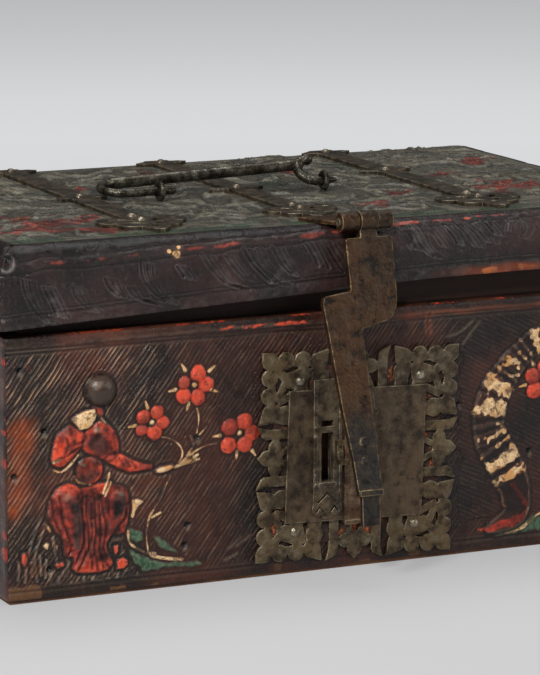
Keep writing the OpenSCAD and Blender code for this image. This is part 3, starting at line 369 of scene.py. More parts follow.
scroll = {
    "middle": [(57, 8.6), (67, 13), (67.6, 22), (63, 33), (57.6, 42), (55.8, 50), (57.4, 58), (62, 66), (68.4, 73.4),
        (77, 79.4), (89, 82.4), (101, 81.4), (111.4, 75.6), (117, 66)],
    "halfWidth": [2.2, 5.8, 6.9, 7.4, 7.2, 6.8, 7, 6.4, 5.4, 4.8, 4.8, 4.8, 4.6, 3.4],
    # where the pale blocks start and end along the band
    "blocks": [(25.5, 29.5), (31.5, 37), (39.6, 41), (43, 47), (48.8, 50.4), (52.4, 60), (62, 67.6), (69.6, 70.6),
        (72, 77), (79, 79.8), (82, 82.8), (85.6, 90), (93, 94), (96, 101), (103, 104), (107, 111.6), (114, 115),
        (118, 122)],
    "foot": [(52.2, 8.7), (61.9, 11.2), (71, 13.8), (73.6, 14.2), (69.8, 9.8), (58.1, 6.9)],
    "redEdge": [(66.8, 25), (70.4, 20), (73.2, 14.6)],
    "corner": [(58.5, 5.6), (68.5, 8.6), (78.6, 13.6), (80, 8), (66, 5.2)]}
borders = {
    "lineTop": 90.4, "lineLow": 5, "redHeight": 93.2, "sootHeight": 92.2, "plainRed": 93.4, "holeRadius": 0.95,
    "wornSpot": ((-129.2, 3.2), 2.2), "byPlate": [(-42, 4), (46, 4), (46, 84), (-42, 84)],
    # how much paint is left along the top edge
    "redTop": [(-135, 0.36), (-110, 0.4), (-92, 0.42), (-73, 0.42), (-69, 0.6), (-59, 0.6), (-54, 0.5), (-51, 0.98),
        (-22, 0.98), (-16, 0.5), (16, 0.34), (60, 0.34), (100, 0.5), (135, 0.5)],
    "dashes": [(11.8, 20.8), (23.4, 27.2), (37.8, 40.1), (43.5, 45), (49, 56.7), (60.5, 63.4), (66.3, 69.4),
        (85.9, 91)],
    "dabs": [((-131.6, 87), 2.6), ((-126.4, 85), 2.8)],
    "glow": [(-129.1, 70.1), (-133.1, 63.4), (-134.2, 48.2), (-133.5, 35.3), (-130.2, 31.7), (-126.1, 41),
        (-123.9, 57.5), (-124.4, 66.5)],
    "crack": [(30.9, 92.4), (30.2, 88.4), (30.8, 84.6)],
    "nailHoles": [(-129.6, 84.2), (-120.7, 61.8), (-132, 46.5), (-119.3, 11.8), (-66, 22.7), (-62.1, 54.4),
        (-67.1, 15.3), (43.2, 57.6), (73.5, 37.1), (128.4, 84), (129.6, 47), (126.4, 9.6)],
    "flourish": [[(38.2, 83.2), (43.4, 84.4), (48.6, 88.2)], [(44.7, 79.7), (48.5, 84.5), (51.6, 87.7)],
        [(-51.5, 7.9), (-46.2, 10)], [(-46.9, 12.7), (-41.3, 16.1)], [(-50, 12), (-45, 16)]]}


def offPlate(x, z, margin):
    # 1 away from the lock plate, 0 under it
    lean = math.radians(plate["lean"])
    dx, dz = x - plate["centre"][0], z - plate["centre"][1]
    a = np.abs(dx * math.cos(lean) - dz * math.sin(lean)) - plate["width"] / 2
    b = np.abs(dx * math.sin(lean) + dz * math.cos(lean)) - plate["height"] / 2
    return smooth(0, margin, np.maximum(a, b))


def carveFigure(s):
    f, x, z = figure, s.u, s.v
    head = s.disc(f["head"], f["headRadius"])
    collar = np.minimum(s.outline(f["collar"]), s.outline(f["collarTip"]))
    sleeve, chest, arm = (s.outline(f[key]) for key in ("sleeve", "chest", "arm"))
    waist = s.disc(f["waist"], f["waistRadius"])
    skirt = s.outline(f["skirt"]) - 0.3
    hand = s.outline(f["hand"])
    neck = s.path(f["neck"], 1.7)
    scraps = np.minimum.reduce([s.outline(points) for points in f["scraps"]])
    robe = np.minimum.reduce([sleeve, chest, arm, waist, skirt])
    s.height = np.maximum(s.height, 0.45 * smooth(0, 1.0, -robe))
    for part, rise, wide in ((sleeve, 1.3, 3.6), (arm, 1.2, 2.6), (waist, 1.2, 5.0), (chest, 0.9, 4.0),
                             (collar, 0.9, 1.6), (hand, 0.9, 1.5), (scraps, 0.5, 1.0)):
        s.swell(part, rise, wide)
    s.swell(s.disc(f["belly"], f["bellyRadius"]), 1.7, 4.9)
    for line, widths, rise in f["legs"]:
        s.swell(s.taper(line, widths, 4), rise, 3.4)
    s.swell(neck, 0.8, 1.7)
    inRobe = smooth(0.3, -0.6, robe)
    for line in f["folds"] + f["sleeveFolds"] + f["armFolds"]:
        d = s.path(curve(line))
        s.height += (0.2 * groove(d - 0.9, 0.55) - 0.42 * groove(d, 0.55)) * inRobe
        s.add("line", (0.65 + 0.4 * s.noise(5, 13)) * groove(d, 0.42) * inRobe)
    # joints between the parts of the dress
    for part in (sleeve, arm, waist, chest):
        s.cut(part, 0.3 * inRobe, 0.5, 0.75 * inRobe, 0.4)
    ball = np.clip(1 - (s.disc(f["head"], 0) / f["headRadius"]) ** 2, 0, 1)
    s.height = np.where(head < 0, f["headRise"] * np.sqrt(ball) - 0.25, s.height)
    everything = np.minimum.reduce([robe, head, collar, hand, scraps, neck])
    s.height -= 0.28 * groove(everything - 0.45, 0.5)
    s.add("line", groove(everything - 0.3, 0.45) * (0.6 + 0.5 * s.noise(4, 14)))
    s.add("red", paintEdge(np.minimum(robe, scraps) + 0.1))
    s.add("red", 0.62 * smooth(0.2, -0.4, neck))
    s.add("crimson", smooth(0.5, -0.5, skirt) * smooth(43, 36, z) * (1 - 0.75 * smooth(16, 10, z)))
    # soot settled on the dress
    soot = 0.85 * smooth(0.05, 0.5, s.noise(3.2, 18)) + 0.5 * smooth(0.1, 0.5, s.noise(1.3, 19))
    s.add("shade", soot * inRobe)
    s.add("crimson", 0.8 * smooth(0.4, -0.6, neck))
    s.add("crimson", 0.6 * smooth(0.5, -1.5, chest))
    for dark in (head - 0.3, collar, hand):
        s.erase("red", dark < 0)
    for pale in (collar, hand):
        s.add("cream", paintEdge(pale + 0.1))
    s.erase("cream", head < 0.3)
    s.add("polish", smooth(0.3, -0.4, head))
    belly = s.disc(f["belly"], f["bellyRadius"] - 0.6) + 0.9 * s.noise(2.4, 15)
    s.add("polish", 0.95 * smooth(1.0, -1.6, belly) * smooth(0.5, -0.5, chest))
    s.add("polish", 0.85 * smooth(0.3, -1.5, waist + 0.25 * (x - f["waist"][0]) + 0.8 * s.noise(2.2, 16)))
    glint = s.disc((f["belly"][0] - 1.2, f["belly"][1] + 4.6), 1.0) + 0.5 * s.noise(1.0, 17)
    s.add("light", 1.4 * smooth(0.5, -0.5, glint))
    for line, widths, strength in f["rubbed"]:
        d = s.taper(line, widths, 3) + 0.5 * s.noise(1.8, 3)
        s.add("polish", strength * smooth(0.6, -0.9, d) * inRobe)
    # painted highlights on the crown, the knees, the shoulder and the belly
    for centre, r, strength in f["paintedHighlights"]:
        s.add("light", strength * smooth(0.9, -r, s.disc(centre, r) + 1.1 * s.noise(1.2, 46)))
    for line in f["edging"]:
        d = s.path(curve(line)) + 0.2 * s.noise(1.6, 4)
        s.height += 0.35 * groove(d, 0.55)
        s.add("cream", np.clip(0.8 - 0.6 * np.abs(d), 0, 1))
        s.erase("red", np.abs(d) < 0.4, 0.2)
    for line in f["tufts"]:
        d = s.path(curve(line), 0.8)
        s.height += 0.4 * smooth(0.4, -0.8, d)
        s.add("line", 0.8 * groove(d, 0.4))
        s.add("rust", 0.5 * smooth(0.6, -0.4, d) * smooth(-0.2, 0.3, s.noise(5, 6)))
        s.add("green", 0.56 * smooth(0.6, -0.4, d) * smooth(0.0, 0.4, s.noise(4, 7)))
    for points in f["leaves"] + [f["stone"]]:
        d = s.outline(points)
        s.height += 0.55 * smooth(0.3, -0.7, d)
        s.add("cream", paintEdge(d - 0.3))
        s.add("line", 0.8 * groove(d - 0.3, 0.4))
        everything = np.minimum(everything, d)
    # stony ground at the feet
    stony = smooth(12, 8, z) * smooth(5.4, 6.4, z) * smooth(-121, -117, x) * smooth(-84, -88, x)
    s.height += 0.45 * np.clip(s.noise(1.6, 8), 0, 1) * stony
    return everything


def carveFlowers(s):
    f, forms = flowers, np.full(s.u.shape, farAway)
    for points in f["mounds"]:
        d = s.outline(points) + 0.6 * s.noise(2.2, 5)
        s.height = np.maximum(s.height, 0.5 * smooth(0, 1.4, -d) + 0.12 * s.noise(1.8, 9) * smooth(0, 1, -d))
        s.add("green", paintEdge(d) * 0.92)
        s.add("line", 0.6 * groove(d, 0.5))
        forms = np.minimum(forms, d)
    for line in f["groundLines"] + f["stems"] + f["bundle"]:
        wide = 0.26 if line in f["groundLines"] else 0.16 if line in f["bundle"] else 0.04
        d = s.path(curve(line), wide)
        s.height += 0.32 * smooth(0.6, -0.2, d)
        s.add("cream", np.clip(0.8 - 0.62 * np.maximum(d, 0), 0, 1) * (0.86 + 0.3 * s.noise(3, 10)))
        s.add("line", 0.55 * groove(d - 0.75, 0.4))
        forms = np.minimum(forms, d - 0.4)
    for (cx, cz), petals, leaves in f["blooms"]:
        petalForms = [s.disc((cx + px, cz + pz), r - 0.25) + 0.35 * s.noise(2.3, 11) for px, pz, r in petals]
        bloom = np.minimum.reduce(petalForms)
        s.erase("line", bloom < 0)
        for k, d in enumerate(petalForms):
            s.swell(d, 1.1, 2.6)
            s.add("red", np.where(d < 0.2, np.clip(paintEdge(d * 2) + 0.1, 0, 1), 0))
            s.add("line", groove(np.maximum(d, 0) - 0.1, 0.42) * np.where(bloom > -0.2, 1, 0))
            s.add("crimson", smooth(0.2, -0.5, d) * (0.7 if k % 5 == 4 else 0.12 * (k % 3)))
        s.height -= 0.3 * groove(bloom - 0.3, 0.45)
        for lx, lz in leaves:
            size = math.hypot(lx, lz)
            tip = [(cx + lx * far, cz + lz * far) for far in (1 - 1.2 / size, 1 + 1.6 / size)]
            leaf = s.path(tip, [0.5, 0.05])
            s.height += 0.4 * smooth(0.3, -0.4, leaf)
            s.add("cream", np.clip(0.7 - 0.5 * leaf, 0, 1) * (leaf < 0.8))
            forms = np.minimum(forms, leaf)
        heart = s.disc((cx, cz), f["centre"])
        s.swell(heart, 0.9, 1.2)
        s.erase("red", heart < 0.2)
        s.add("cream", paintEdge(heart * 1.5))
        s.add("line", 0.8 * groove(heart - 0.25, 0.35))
        forms = np.minimum(forms, bloom)
    return forms


def carveScroll(s):
    middle = curve(scroll["middle"], 5)
    along, edge = alongPath(s.u, s.v, middle, spread(scroll["halfWidth"], len(middle)))
    ragged = edge + 0.7 * s.noise(1.7, 21) * smooth(60, 20, along) + 0.25 * s.noise(1.1, 22)
    s.height = np.maximum(s.height, 0.5 * smooth(0.2, -1.0, edge))
    inBand = smooth(0.3, -0.3, ragged)
    block = np.full(edge.shape, -9.0)
    for start, end in scroll["blocks"]:
        block = np.maximum(block, np.minimum(along - start, end - along) + 0.4 * s.noise(1.5, 23))
    s.height += 0.25 * smooth(-0.4, 0.4, block) * inBand
    lost = 0.44 * s.noise(1.4, 25) + 0.6 * smooth(0.05, 0.5, s.noise(4.5, 26))
    s.add("cream", np.where(edge < 0.6, np.clip(0.5 + np.minimum(block, -ragged) / 3.2 - lost, 0, 0.74), 0))
    s.add("shade", 0.5 * smooth(0.4, -0.4, edge) * smooth(-0.1, 0.5, s.noise(2.2, 29)))
    s.add("shade", 0.8 * smooth(0.4, -0.4, edge) * smooth(12, 20, along) * smooth(0.5, 0.36, s.layer("cream")))
    # narrow pale edges where the lower part is dark
    rim = np.abs(edge + 1.1) - 0.55
    s.add("cream", np.where((along > 12) & (along < 26), np.clip(0.46 - rim / 3 + 0.3 * s.noise(1.6, 27), 0, 0.6), 0))
    red = np.minimum(s.outline(scroll["foot"]), s.path(curve(scroll["redEdge"]), 1.0)) + 0.9 * s.noise(1.5, 24)
    s.add("red", paintEdge(red, 3, 0.68))
    s.add("crimson", 0.75 * smooth(0.6, -0.6, red))
    corner = s.outline(scroll["corner"]) + 0.6 * s.noise(2, 28)
    s.add("green", paintEdge(corner, 3, 0.62))
    s.add("line", 0.9 * groove(edge - 0.2, 0.45))
    s.add("line", 0.75 * smooth(0.2, -0.6, edge) * smooth(0.2, -0.5, block) * smooth(7, 13, along))
    # pale dots along the inner edge and in the gaps
    for k in range(26):
        at = 24 + 3.9 * k
        d = np.hypot(along - at, (edge + 1.5) * 1.2) - 0.5
        s.add("cream", np.where(edge < 0, 0.5 - d / 2.4, 0) * (0.4 if k % 3 else 1.0))
    return edge


def frontSheet():
    b = bodySkin
    s = wallSheet((-b["halfWidth"], -b["halfDepth"], 0), (1.0, 0, 0), 2 * b["halfWidth"], b["frontCell"])
    s.u = s.u - b["halfWidth"]
    x, z = s.u, s.v
    clear = offPlate(x, z, 2.5)
    forms = np.minimum.reduce([carveScroll(s), carveFlowers(s), carveFigure(s)])
    s.add("hatch", smooth(0.3, 1.3, forms))
    for value, wide in ((borders["lineTop"], 0.4), (borders["lineTop"] + 1.2, 0.3), (borders["lineLow"], 0.35)):
        line = z - value - 0.5 * s.wander(22, 31)
        s.cut(line, 0.25, wide, 0.75)
        s.fade("hatch", 1 - 0.9 * groove(line, 1.2))
    s.fade("hatch", smooth(borders["lineTop"] + 0.8, borders["lineTop"] - 0.6, z))
    s.fade("hatch", smooth(borders["lineLow"] - 0.4, borders["lineLow"] + 0.8, z))
    # red along the top edge and dabs of it at the left
    strong = np.interp(x, *zip(*borders["redTop"]))
    strip = np.abs(z - borders["redHeight"] + 0.35 * s.noise(3.0, 33)) - 1.1 + 0.6 * np.abs(s.noise(0.9, 45))
    s.add("red", paintEdge(strip, 4, 0.85) * np.minimum(strong, 0.84 + 0.3 * s.noise(4.5, 44)) * 1.12)
    s.add("crimson", smooth(-64, -72, x) * smooth(0.6, 0, strip))
    s.height += 0.25 * smooth(0.4, -0.6, strip) * strong
    s.add("rust", 0.9 * groove(z - borders["sootHeight"] + 0.6 * s.wander(8, 42), 0.9) * smooth(14, 20, x))
    for centre, r in borders["dabs"]:
        d = s.disc(centre, r, wide=1.6) + 1.2 * s.noise(1.6, 41)
        s.add("red", 0.52 * smooth(1.2, -1.2, d))
        s.add("crimson", smooth(1.2, -1.2, d))
    for line in borders["flourish"]:
        d = s.path(curve(line))
        s.height += 0.18 * groove(d - 0.35, 0.35) - 0.22 * groove(d, 0.35)
        s.add("light", 0.8 * groove(d, 0.3))
        s.fade("hatch", 1 - 0.6 * groove(d, 1.4))
    crack = s.path(curve(borders["crack"]), 0.1) + 0.3 * s.noise(1.4, 34)
    s.add("rust", groove(crack, 0.8))
    s.height -= 0.3 * groove(crack, 0.5)
    s.add("rust", 0.95 * smooth(3.0, -2.5, s.outline(borders["glow"]) + 2 * s.noise(6, 40)))
    # the ground is painted darker from the figure towards the lock, right round the lock plate, in the lower left
    # corner and along the bottom
    bare = 1 - 0.9 * smooth(0.35, 0.55, s.paint[..., :3].max(-1))
    grimeAndShade = 0.62 * smooth(-98, -62, x) + 0.14 * smooth(-110, -118, x) + 0.25 * smooth(0.0, 0.6, s.noise(15, 43))
    s.add("shade", bare * grimeAndShade)
    s.add("shade", bare * 0.36 * smooth(-114, -126, x) * smooth(32, 24, z))
    fresh = 0.3 * smooth(-70, -100, x) * smooth(60, 76, z)
    s.add("faint", 0.3 + 0.3 * smooth(-84, -50, x) + 0.3 * smooth(36, 50, x) - fresh)
    s.add("shade", bare * 0.75 * smooth(6, 0, s.outline(borders["byPlate"])))
    s.add("shade", 0.5 * smooth(5.4, 4.4, z))
    low = smooth(5.0, 2.6, z + 1.3 * s.wander(9, 35))
    s.add("worn", 0.56 * low * smooth(-112, -100, x) * smooth(-0.2, 0.4, s.noise(7, 36)) * smooth(60, 30, x))
    centre, r = borders["wornSpot"]
    s.add("worn", 0.9 * smooth(2.2, 0.6, s.disc(centre, r, wide=0.5) + 1.2 * s.noise(3, 37)))
    # lighter rubbed ridges, and painted shade in the hollows
    s.wearAndHollowShade(0.75, 0.85)
    # each nail hole: sunk, painted dark inside as painted shade, with a painted highlight on the rim below it
    for centre in borders["nailHoles"]:
        d = s.disc(centre, borders["holeRadius"], tall=1.1)
        s.height -= smooth(0.4, -0.3, d)
        s.fade("light", smooth(-0.2, 0.6, d))
        s.add("line", smooth(0.5, 0.0, d))
        s.add("shade", smooth(0.5, 0.0, d))
        s.add("light", 0.7 * groove(s.disc((centre[0] + 0.3, centre[1] - 1.7), 0.4), 0.5))
    s.height += 0.16 * s.noise(17, 38) + 0.08 * s.noise(5, 39)
    s.height *= clear * smooth(0, 2.5, b["halfWidth"] - np.abs(x))
    s.height *= smooth(0, 2, z - b["low"]) * smooth(0, 2, b["top"] - z)
    s.fade("light", clear)
    halfOpen, low, high = plate["open"]
    x, z = x[:-1, :-1], z[:-1, :-1]
    s.keep &= ~((np.abs(x - plate["centre"][0]) < halfOpen) & (z > low) & (z < high))
    s.hem(b["thick"])
    return s


def plainSheet(origin, across, length, seed):
    # the back and the ends: blocks and lines without figures
    b = bodySkin
    s = wallSheet(origin, across, length, b["cell"])
    u, v = s.u, s.v
    s.height = -0.25 * (0.5 + 0.5 * s.noise(19, seed)) * smooth(0, 4, u) * smooth(0, 4, length - u)
    inner = np.minimum(u, length - u)
    s.add("hatch", smooth(7.4, 8.6, inner) * smooth(5.0, 5.8, v) * smooth(91, 90.2, v))
    for d in (u - 7, length - u - 7, v - 4.6, 91.4 - v):
        s.add("line", 0.7 * groove(d, 0.9))
    # red blocks in the upright borders
    upright = inner + 0.4 * s.noise(3, seed + 2)
    s.add("crimson", 0.6 * smooth(7.5, 6, upright))
    for start, end in borders["dashes"]:
        block = np.maximum(np.abs(v - (start + end) / 2) - (end - start) / 2, upright - 5.6)
        s.add("red", paintEdge(block, 2.5, 0.66) * (0.9 + 0.3 * s.noise(6, seed + 6)))
        s.height += 0.2 * smooth(0.4, -0.6, block)
    s.add("red", 0.54 * smooth(1.6, 0.6, np.abs(v - borders["plainRed"])))
    s.add("worn", 0.8 * smooth(4.4, 1.6, v + 1.2 * s.wander(9, seed + 3)) * smooth(-0.4, 0.3, s.noise(12, seed + 4)))
    s.add("shade", 0.3 * smooth(-0.4, 0.4, s.noise(40, seed + 5)))
    s.hem(b["thick"])
    return s


def ledgeSheets():
    # the ledge that carries the lid, from the walls in to the lip
    b = bodySkin
    corner, inset, out = b["corner"], b["corner"] * cornerCut, []
    ways = (("y", b["halfWidth"] - inset, b["halfDepth"], b["lipDepth"]),
            ("x", b["lipDepth"], b["halfWidth"], b["lipWidth"]))
    for sign in (-1, 1):
        for axis, reach, edge, lip in ways:
            u, v = np.meshgrid(spaced(-reach, reach, 1.5), spaced(inset, edge - lip, 0.8))
            side, z = sign * (edge - v), b["top"] - cornerFall(corner, v)
            if axis == "y":
                z = z - cornerFall(corner, b["halfWidth"] - np.abs(u))
            s = Sheet(np.stack([u, side, z] if axis == "y" else [side, u, z], -1), (0, 0, 1), u, v + 100)
            if (axis == "y") == (sign > 0):
                s.mirror()
            s.add("red", 0.56 * smooth(3.0, 1.0, v) * smooth(-0.4, 0.3, s.noise(9, 51)))
            s.add("crimson", 0.7 * smooth(1.0, 2.4, v))
            # painted shade under the lid, over all but the outer edge of the ledge
            s.add("shade", 0.9 * smooth(1.6, 3.2, v))
            out.append(s)
    return out


def buildBody():
    wide, deep = bodySkin["halfWidth"], bodySkin["halfDepth"]
    front = sheetObject("frontLeather", [frontSheet()], "box", "body_leather")
    right = plainSheet((wide, -deep, 0), (0, 1.0, 0), 2 * deep, 61)
    back = plainSheet((wide, deep, 0), (-1.0, 0, 0), 2 * wide, 71)
    left = plainSheet((-wide, deep, 0), (0, -1.0, 0), 2 * deep, 81)
    return front, sheetObject("bodyLeather", [right, back, left] + ledgeSheets(), "box", "body_leather")


frontLeather, bodyLeather = buildBody()

# lid
lidSkin = {
    "halfWidth": 138.0, "halfDepth": 88.0, "top": 128.0, "shoulder": 8.0, "wallRun": 25, "corner": 2.6, "thick": 1.2,
    "rim": [(-138, 99.0), (30, 106.0), (138, 106.5)], "frontCell": 0.36, "cell": 1.3, "topCell": 0.85}
lidMarks = {
    "strokes": [[(-129.3, 116.6), (-128.1, 111.1), (-125, 105.4), (-120.5, 101.4)],
        [(-121.7, 113.6), (-119.2, 108.6), (-116.7, 103.5)], [(-110.8, 112.8), (-108.9, 108.4), (-104.4, 104.4)],
        [(-98.5, 115), (-96.6, 111.2), (-93.3, 108.5)],
        [(-84.8, 119.5), (-84.1, 114.6), (-80.9, 109.4), (-75.6, 105.3)],
        [(-90, 111.3), (-86.8, 107.4), (-80.9, 105.1)], [(-70.9, 117.3), (-68.3, 113.4)],
        [(-61.7, 121), (-57.7, 115.2), (-53, 110.5), (-47.6, 108.2)],
        [(-52.3, 119.7), (-48.3, 114.5), (-44.9, 111.1)], [(-45.6, 122), (-41.8, 116.1), (-34.9, 109.3)],
        [(-40.3, 121.6), (-37.3, 115.8), (-30.3, 109.6)], [(-34.2, 121.9), (-30.4, 115.3), (-26.5, 111.5)],
        [(-21.2, 123.1), (-18.1, 118), (-15.7, 113.6)], [(-13.5, 122.6), (-8.8, 115.2), (-5.6, 110.7)],
        [(17, 125.4), (21, 118.1)], [(21.7, 126), (25, 118.6), (30.6, 113.9)], [(28.1, 125.6), (33.7, 118)],
        [(35.2, 126), (40.1, 118.3)], [(40, 126.4), (47.4, 117.1)], [(46.5, 125), (53, 118.1)],
        [(52.1, 126), (55.4, 120.8)], [(61, 121.9), (62.6, 125.4), (66.4, 126), (69.2, 122.1), (66.8, 118.8)],
        [(80, 125), (84, 118), (90, 113)], [(90, 125.6), (94, 118.4), (100, 113.6)],
        [(100, 125.8), (105, 118), (111, 113)], [(111, 125.6), (116, 118), (122, 113.4)],
        [(121, 125.4), (126, 118), (131, 114)]],
    # height of the red line along the lid, and how much paint is left on it
    "redLine": [(-138, 121.2), (-100, 122.4), (-40, 124.1), (20, 127.2), (75, 128.4), (138, 129)],
    "redLeft": [(-138, 0.3), (-126, 0.46), (-102, 0.52), (-80, 0.55), (-70, 0.44), (-64, 0.74), (-55, 0.6),
        (-50, 0.7), (-40, 0.42), (-24, 0.42), (-18, 0.76), (-8, 0.72), (10, 0.56), (16, 0.72), (46, 0.76), (62, 0.5),
        (80, 0.46), (138, 0.5)],
    "chips": [((-71, 121.8), 1.5), ((-73.6, 123.2), 0.8), ((-69.8, 124.4), 0.7)], "hole": ((-135.6, 123.4), 3)}
# where iron lies on the lid: x of the straps, y and half sizes of what widens each of them, and for the
# leaf of the hasp, the feet of the eyes and the landing of the hook x, y, half sizes and end of the slope
underIron = {
    "straps": [-71.0, -7.0, 66.0], "strapHalf": 5.5,
    "widened": [(-64, 18, 20), (4, 14, 6), (76, 14, 6), (22, 14, 6), (3, 14, 6)],
    "spots": [(2, -84, 20, 12, 1.5), (-44, -9.5, 6, 6, 1.6), (24, -9.5, 6, 6, 1.6), (19, -17, 9, 10, 1.4)]}


def rimHeight(x):
    xs, zs = zip(*lidSkin["rim"])
    return np.interp(x, xs, zs)


def lidSwell(x, y, z):
    # slow unevenness of the whole lid, the same on every side
    a, c = x + 0.31 * z, y + 0.57 * z
    return 0.24 * softNoise(a, c, 34, 91) + 0.14 * softNoise(a, c, 12, 92) + 0.07 * softNoise(a, c, 4.5, 93)


def besideIron(x, y):
    # 1 where the lid is free, 0 under iron
    free, spots = np.ones(x.shape), underIron["spots"]
    for sx in underIron["straps"]:
        free *= smooth(0, 4, np.abs(x - sx) - underIron["strapHalf"])
        spots = spots + [(sx, *spot, 1.5) for spot in underIron["widened"]]
    for cx, cy, wide, deep, end in spots:
        free *= smooth(1, end, np.hypot((x - cx) / wide, (y - cy) / deep))
    return free


def lidBand(side, cell):
    # a side of the lid, from its rim up round the shoulder; corners are mitred
    k = lidSkin
    along, deep = (k["halfWidth"], k["halfDepth"]) if side in "fb" else (k["halfDepth"], k["halfWidth"])
    flat = k["top"] - k["shoulder"]
    arc = k["shoulder"] * math.pi / 2
    run = k["wallRun"] + arc
    t, rows = np.meshgrid(np.linspace(-1, 1, int(2 * along / cell) + 1), np.linspace(0, 1, int(run / cell) + 1))
    split = k["wallRun"] / run
    angle = np.clip((rows - split) / (1 - split), 0, 1) * math.pi / 2
    inset = k["shoulder"] * (1 - np.cos(angle)) + k["corner"] * cornerCut * np.cos(angle)
    p = t * (along - inset)
    sign = {"f": -1, "b": 1, "l": -1, "r": 1}[side]
    rim = rimHeight(p if side in "fb" else np.full(p.shape, sign * k["halfWidth"]))
    wall = np.clip(rows / split, 0, 1)
    z = rim + (flat - rim) * wall + k["shoulder"] * np.sin(angle)
    q = sign * (deep - k["shoulder"] * (1 - np.cos(angle)))
    fall = cornerFall(k["corner"], (1 - np.abs(t)) * (along - inset) + k["corner"] * cornerCut)
    zero = np.zeros(p.shape)
    if side in "fb":
        point = np.stack([p, q, z], -1)
        normal = np.stack([zero, sign * np.cos(angle), np.sin(angle)], -1)
    else:
        point = np.stack([q, p, z], -1)
        normal = np.stack([sign * np.cos(angle), zero, np.sin(angle)], -1)
    v = z + np.where(rows > split, k["shoulder"] * (angle - np.sin(angle)), 0)
    s = Sheet(point - normal * fall[..., None], normal, p, v)
    s.height = lidSwell(*np.moveaxis(point, -1, 0))
    if side in "br":
        s.u = -s.u
    if side in "bl":
        s.mirror()
    return s, rim if side in "fr" else rim[:, ::-1]


def markBand(s, rim, front):
    u, v = s.u, s.v
    low = v - rim
    wobble = 0.5 * s.noise(9, 101)
    red = v - np.interp(u, *zip(*lidMarks["redLine"])) + wobble
    left = np.interp(u, *zip(*lidMarks["redLeft"])) + 0.2 * s.wander(5, 102)
    s.add("red", paintEdge(np.abs(red) - 1, 4, 0.72) * (left + 0.22 * s.noise(2.6, 128)) * 1.2)
    s.height += 0.2 * smooth(1.6, 0.6, np.abs(red))
    for line, wide, deep in (
            (red - 2.1, 0.45, 0.3), (red + 2.0, 0.45, 0.32), (low - 4.6, 0.45, 0.3), (low - 6.0, 0.35, 0.2)):
        s.cut(line + wobble * 0.6, deep, wide, 0.75)
    # curved strokes cut with a knife, each with fainter ones beside it
    plain = [[(a, 121), (a + 1.4 + math.sin(a), 114), (a + 7, 107.4)] for a in np.arange(-126.0, 126, 8.7)]
    strokes = lidMarks["strokes"] if front else plain
    for number, line in enumerate(strokes):
        near = (u > line[0][0] - 4) & (u < line[-1][0] + 8)
        for shift, weight in ((0, 1.0), (1.1, 0.45), (2.3, 0.8), (3.3, 0.35), (4.4, 0.55)):
            press = weight * (0.75 + 0.25 * math.sin(number * 2.3))
            moved = [(a + shift, c - 0.25 * shift) for a, c in line]
            d = np.full(u.shape, farAway)
            d[near] = toPath(u[near], v[near], curve(moved, 4))
            s.height += 0.34 * press * groove(d - 0.72, 0.36)
            s.cut(d, 0.5 * press, 0.38, press, 0.34)
            # a painted highlight along one edge of each stroke
            s.add("light", 0.5 * press * groove(d - 0.66, 0.17) * smooth(-0.3, 0.3, s.noise(2.4, 126)))
    tint = smooth(0.05, 0.55, s.noise(8.5, 103)) * smooth(-2, -5, red) * smooth(5, 8, low)
    s.add("red", 0.5 * tint)
    s.add("crimson", np.maximum(smooth(-1.5, -3, red), 0.45 + 0.5 * s.noise(4, 127)))
    s.height += 0.22 * s.noise(6, 109) + 0.12 * s.noise(2.2, 110)
    # random dark blotches, and painted shade on the shoulder above the red line, strongest at the left
    shoulderShade = (0.95 - 0.35 * smooth(-70, 10, u)) * smooth(1.5, 4, red)
    s.add("shade", 0.5 * smooth(0.0, 0.5, s.noise(12, 125)) + shoulderShade)
    s.height += 0.3 * smooth(4.6, 2.6, low) - 0.3 * smooth(1.0, 0.0, low)
    # rubbed rim: bare and orange towards the right end, with faint painted glints all along it
    rubbed = smooth(3.6, 1.4, low + 1.4 * s.wander(11, 107))
    right = smooth(24, 78, u) if front else 0.3
    s.add("light", 0.1 * rubbed * smooth(0.0, 0.6, s.noise(2.2, 104)))
    s.add("worn", 0.95 * rubbed * right * smooth(-0.9, -0.1, s.noise(9, 108)))
    s.add("rust", rubbed * right)
    if front:
        for centre, r in lidMarks["chips"]:
            d = s.disc(centre, r) + 0.6 * s.noise(1.3, 105)
            s.add("cream", paintEdge(d, 3))
            s.height -= 0.3 * smooth(0.4, -0.4, d)
        centre, r = lidMarks["hole"]
        d = s.disc(centre, r) + 0.4 * s.noise(2.0, 106)
        s.height += 0.5 * groove(d - 0.5, 0.8) - 1.1 * smooth(0.2, -0.8, d)
        s.add("light", groove(d - 0.4, 0.7))
        s.add("line", smooth(0, -0.6, d))
        # no relief under the hasp's leaf
        besideLeaf = smooth(0, 5, np.abs(u - 3) - 17)
        s.height = np.where(s.height > 0, s.height * besideLeaf, s.height)
    else:
        s.height = np.minimum(s.height, -0.02)
    # lighter rubbed ridges, and painted shade in the hollows
    s.wearAndHollowShade(0.16, 0.6)


topMarks = {
    "red": [((-105, -46), 24), ((-127, -50), 16), ((-88, -60), 14), ((-84, -35), 7), ((-112, 10), 9), ((-60, 30), 8),
        ((22, -52), 9), ((62, -62), 9), ((48, -30), 8), ((92, -30), 15), ((110, 30), 13), ((30, 40), 9),
        ((-20, 60), 8), ((84, 8), 9)],
    "green": [((-60, -30), 26), ((-110, 40), 24), ((10, 10), 30), ((60, 50), 26), ((120, -60), 20), ((-20, -60), 20)],
    # x, y, how wide and how high
    "swells": [(25, -56, 10, 0.9), (40, 74, 13, 1.3), (-30, -50, 13, 0.6), (-98, 20, 18, 0.8), (100, -20, 20, 0.9)]}


def topHalf():
    return lidSkin["halfWidth"] - lidSkin["shoulder"], lidSkin["halfDepth"] - lidSkin["shoulder"]


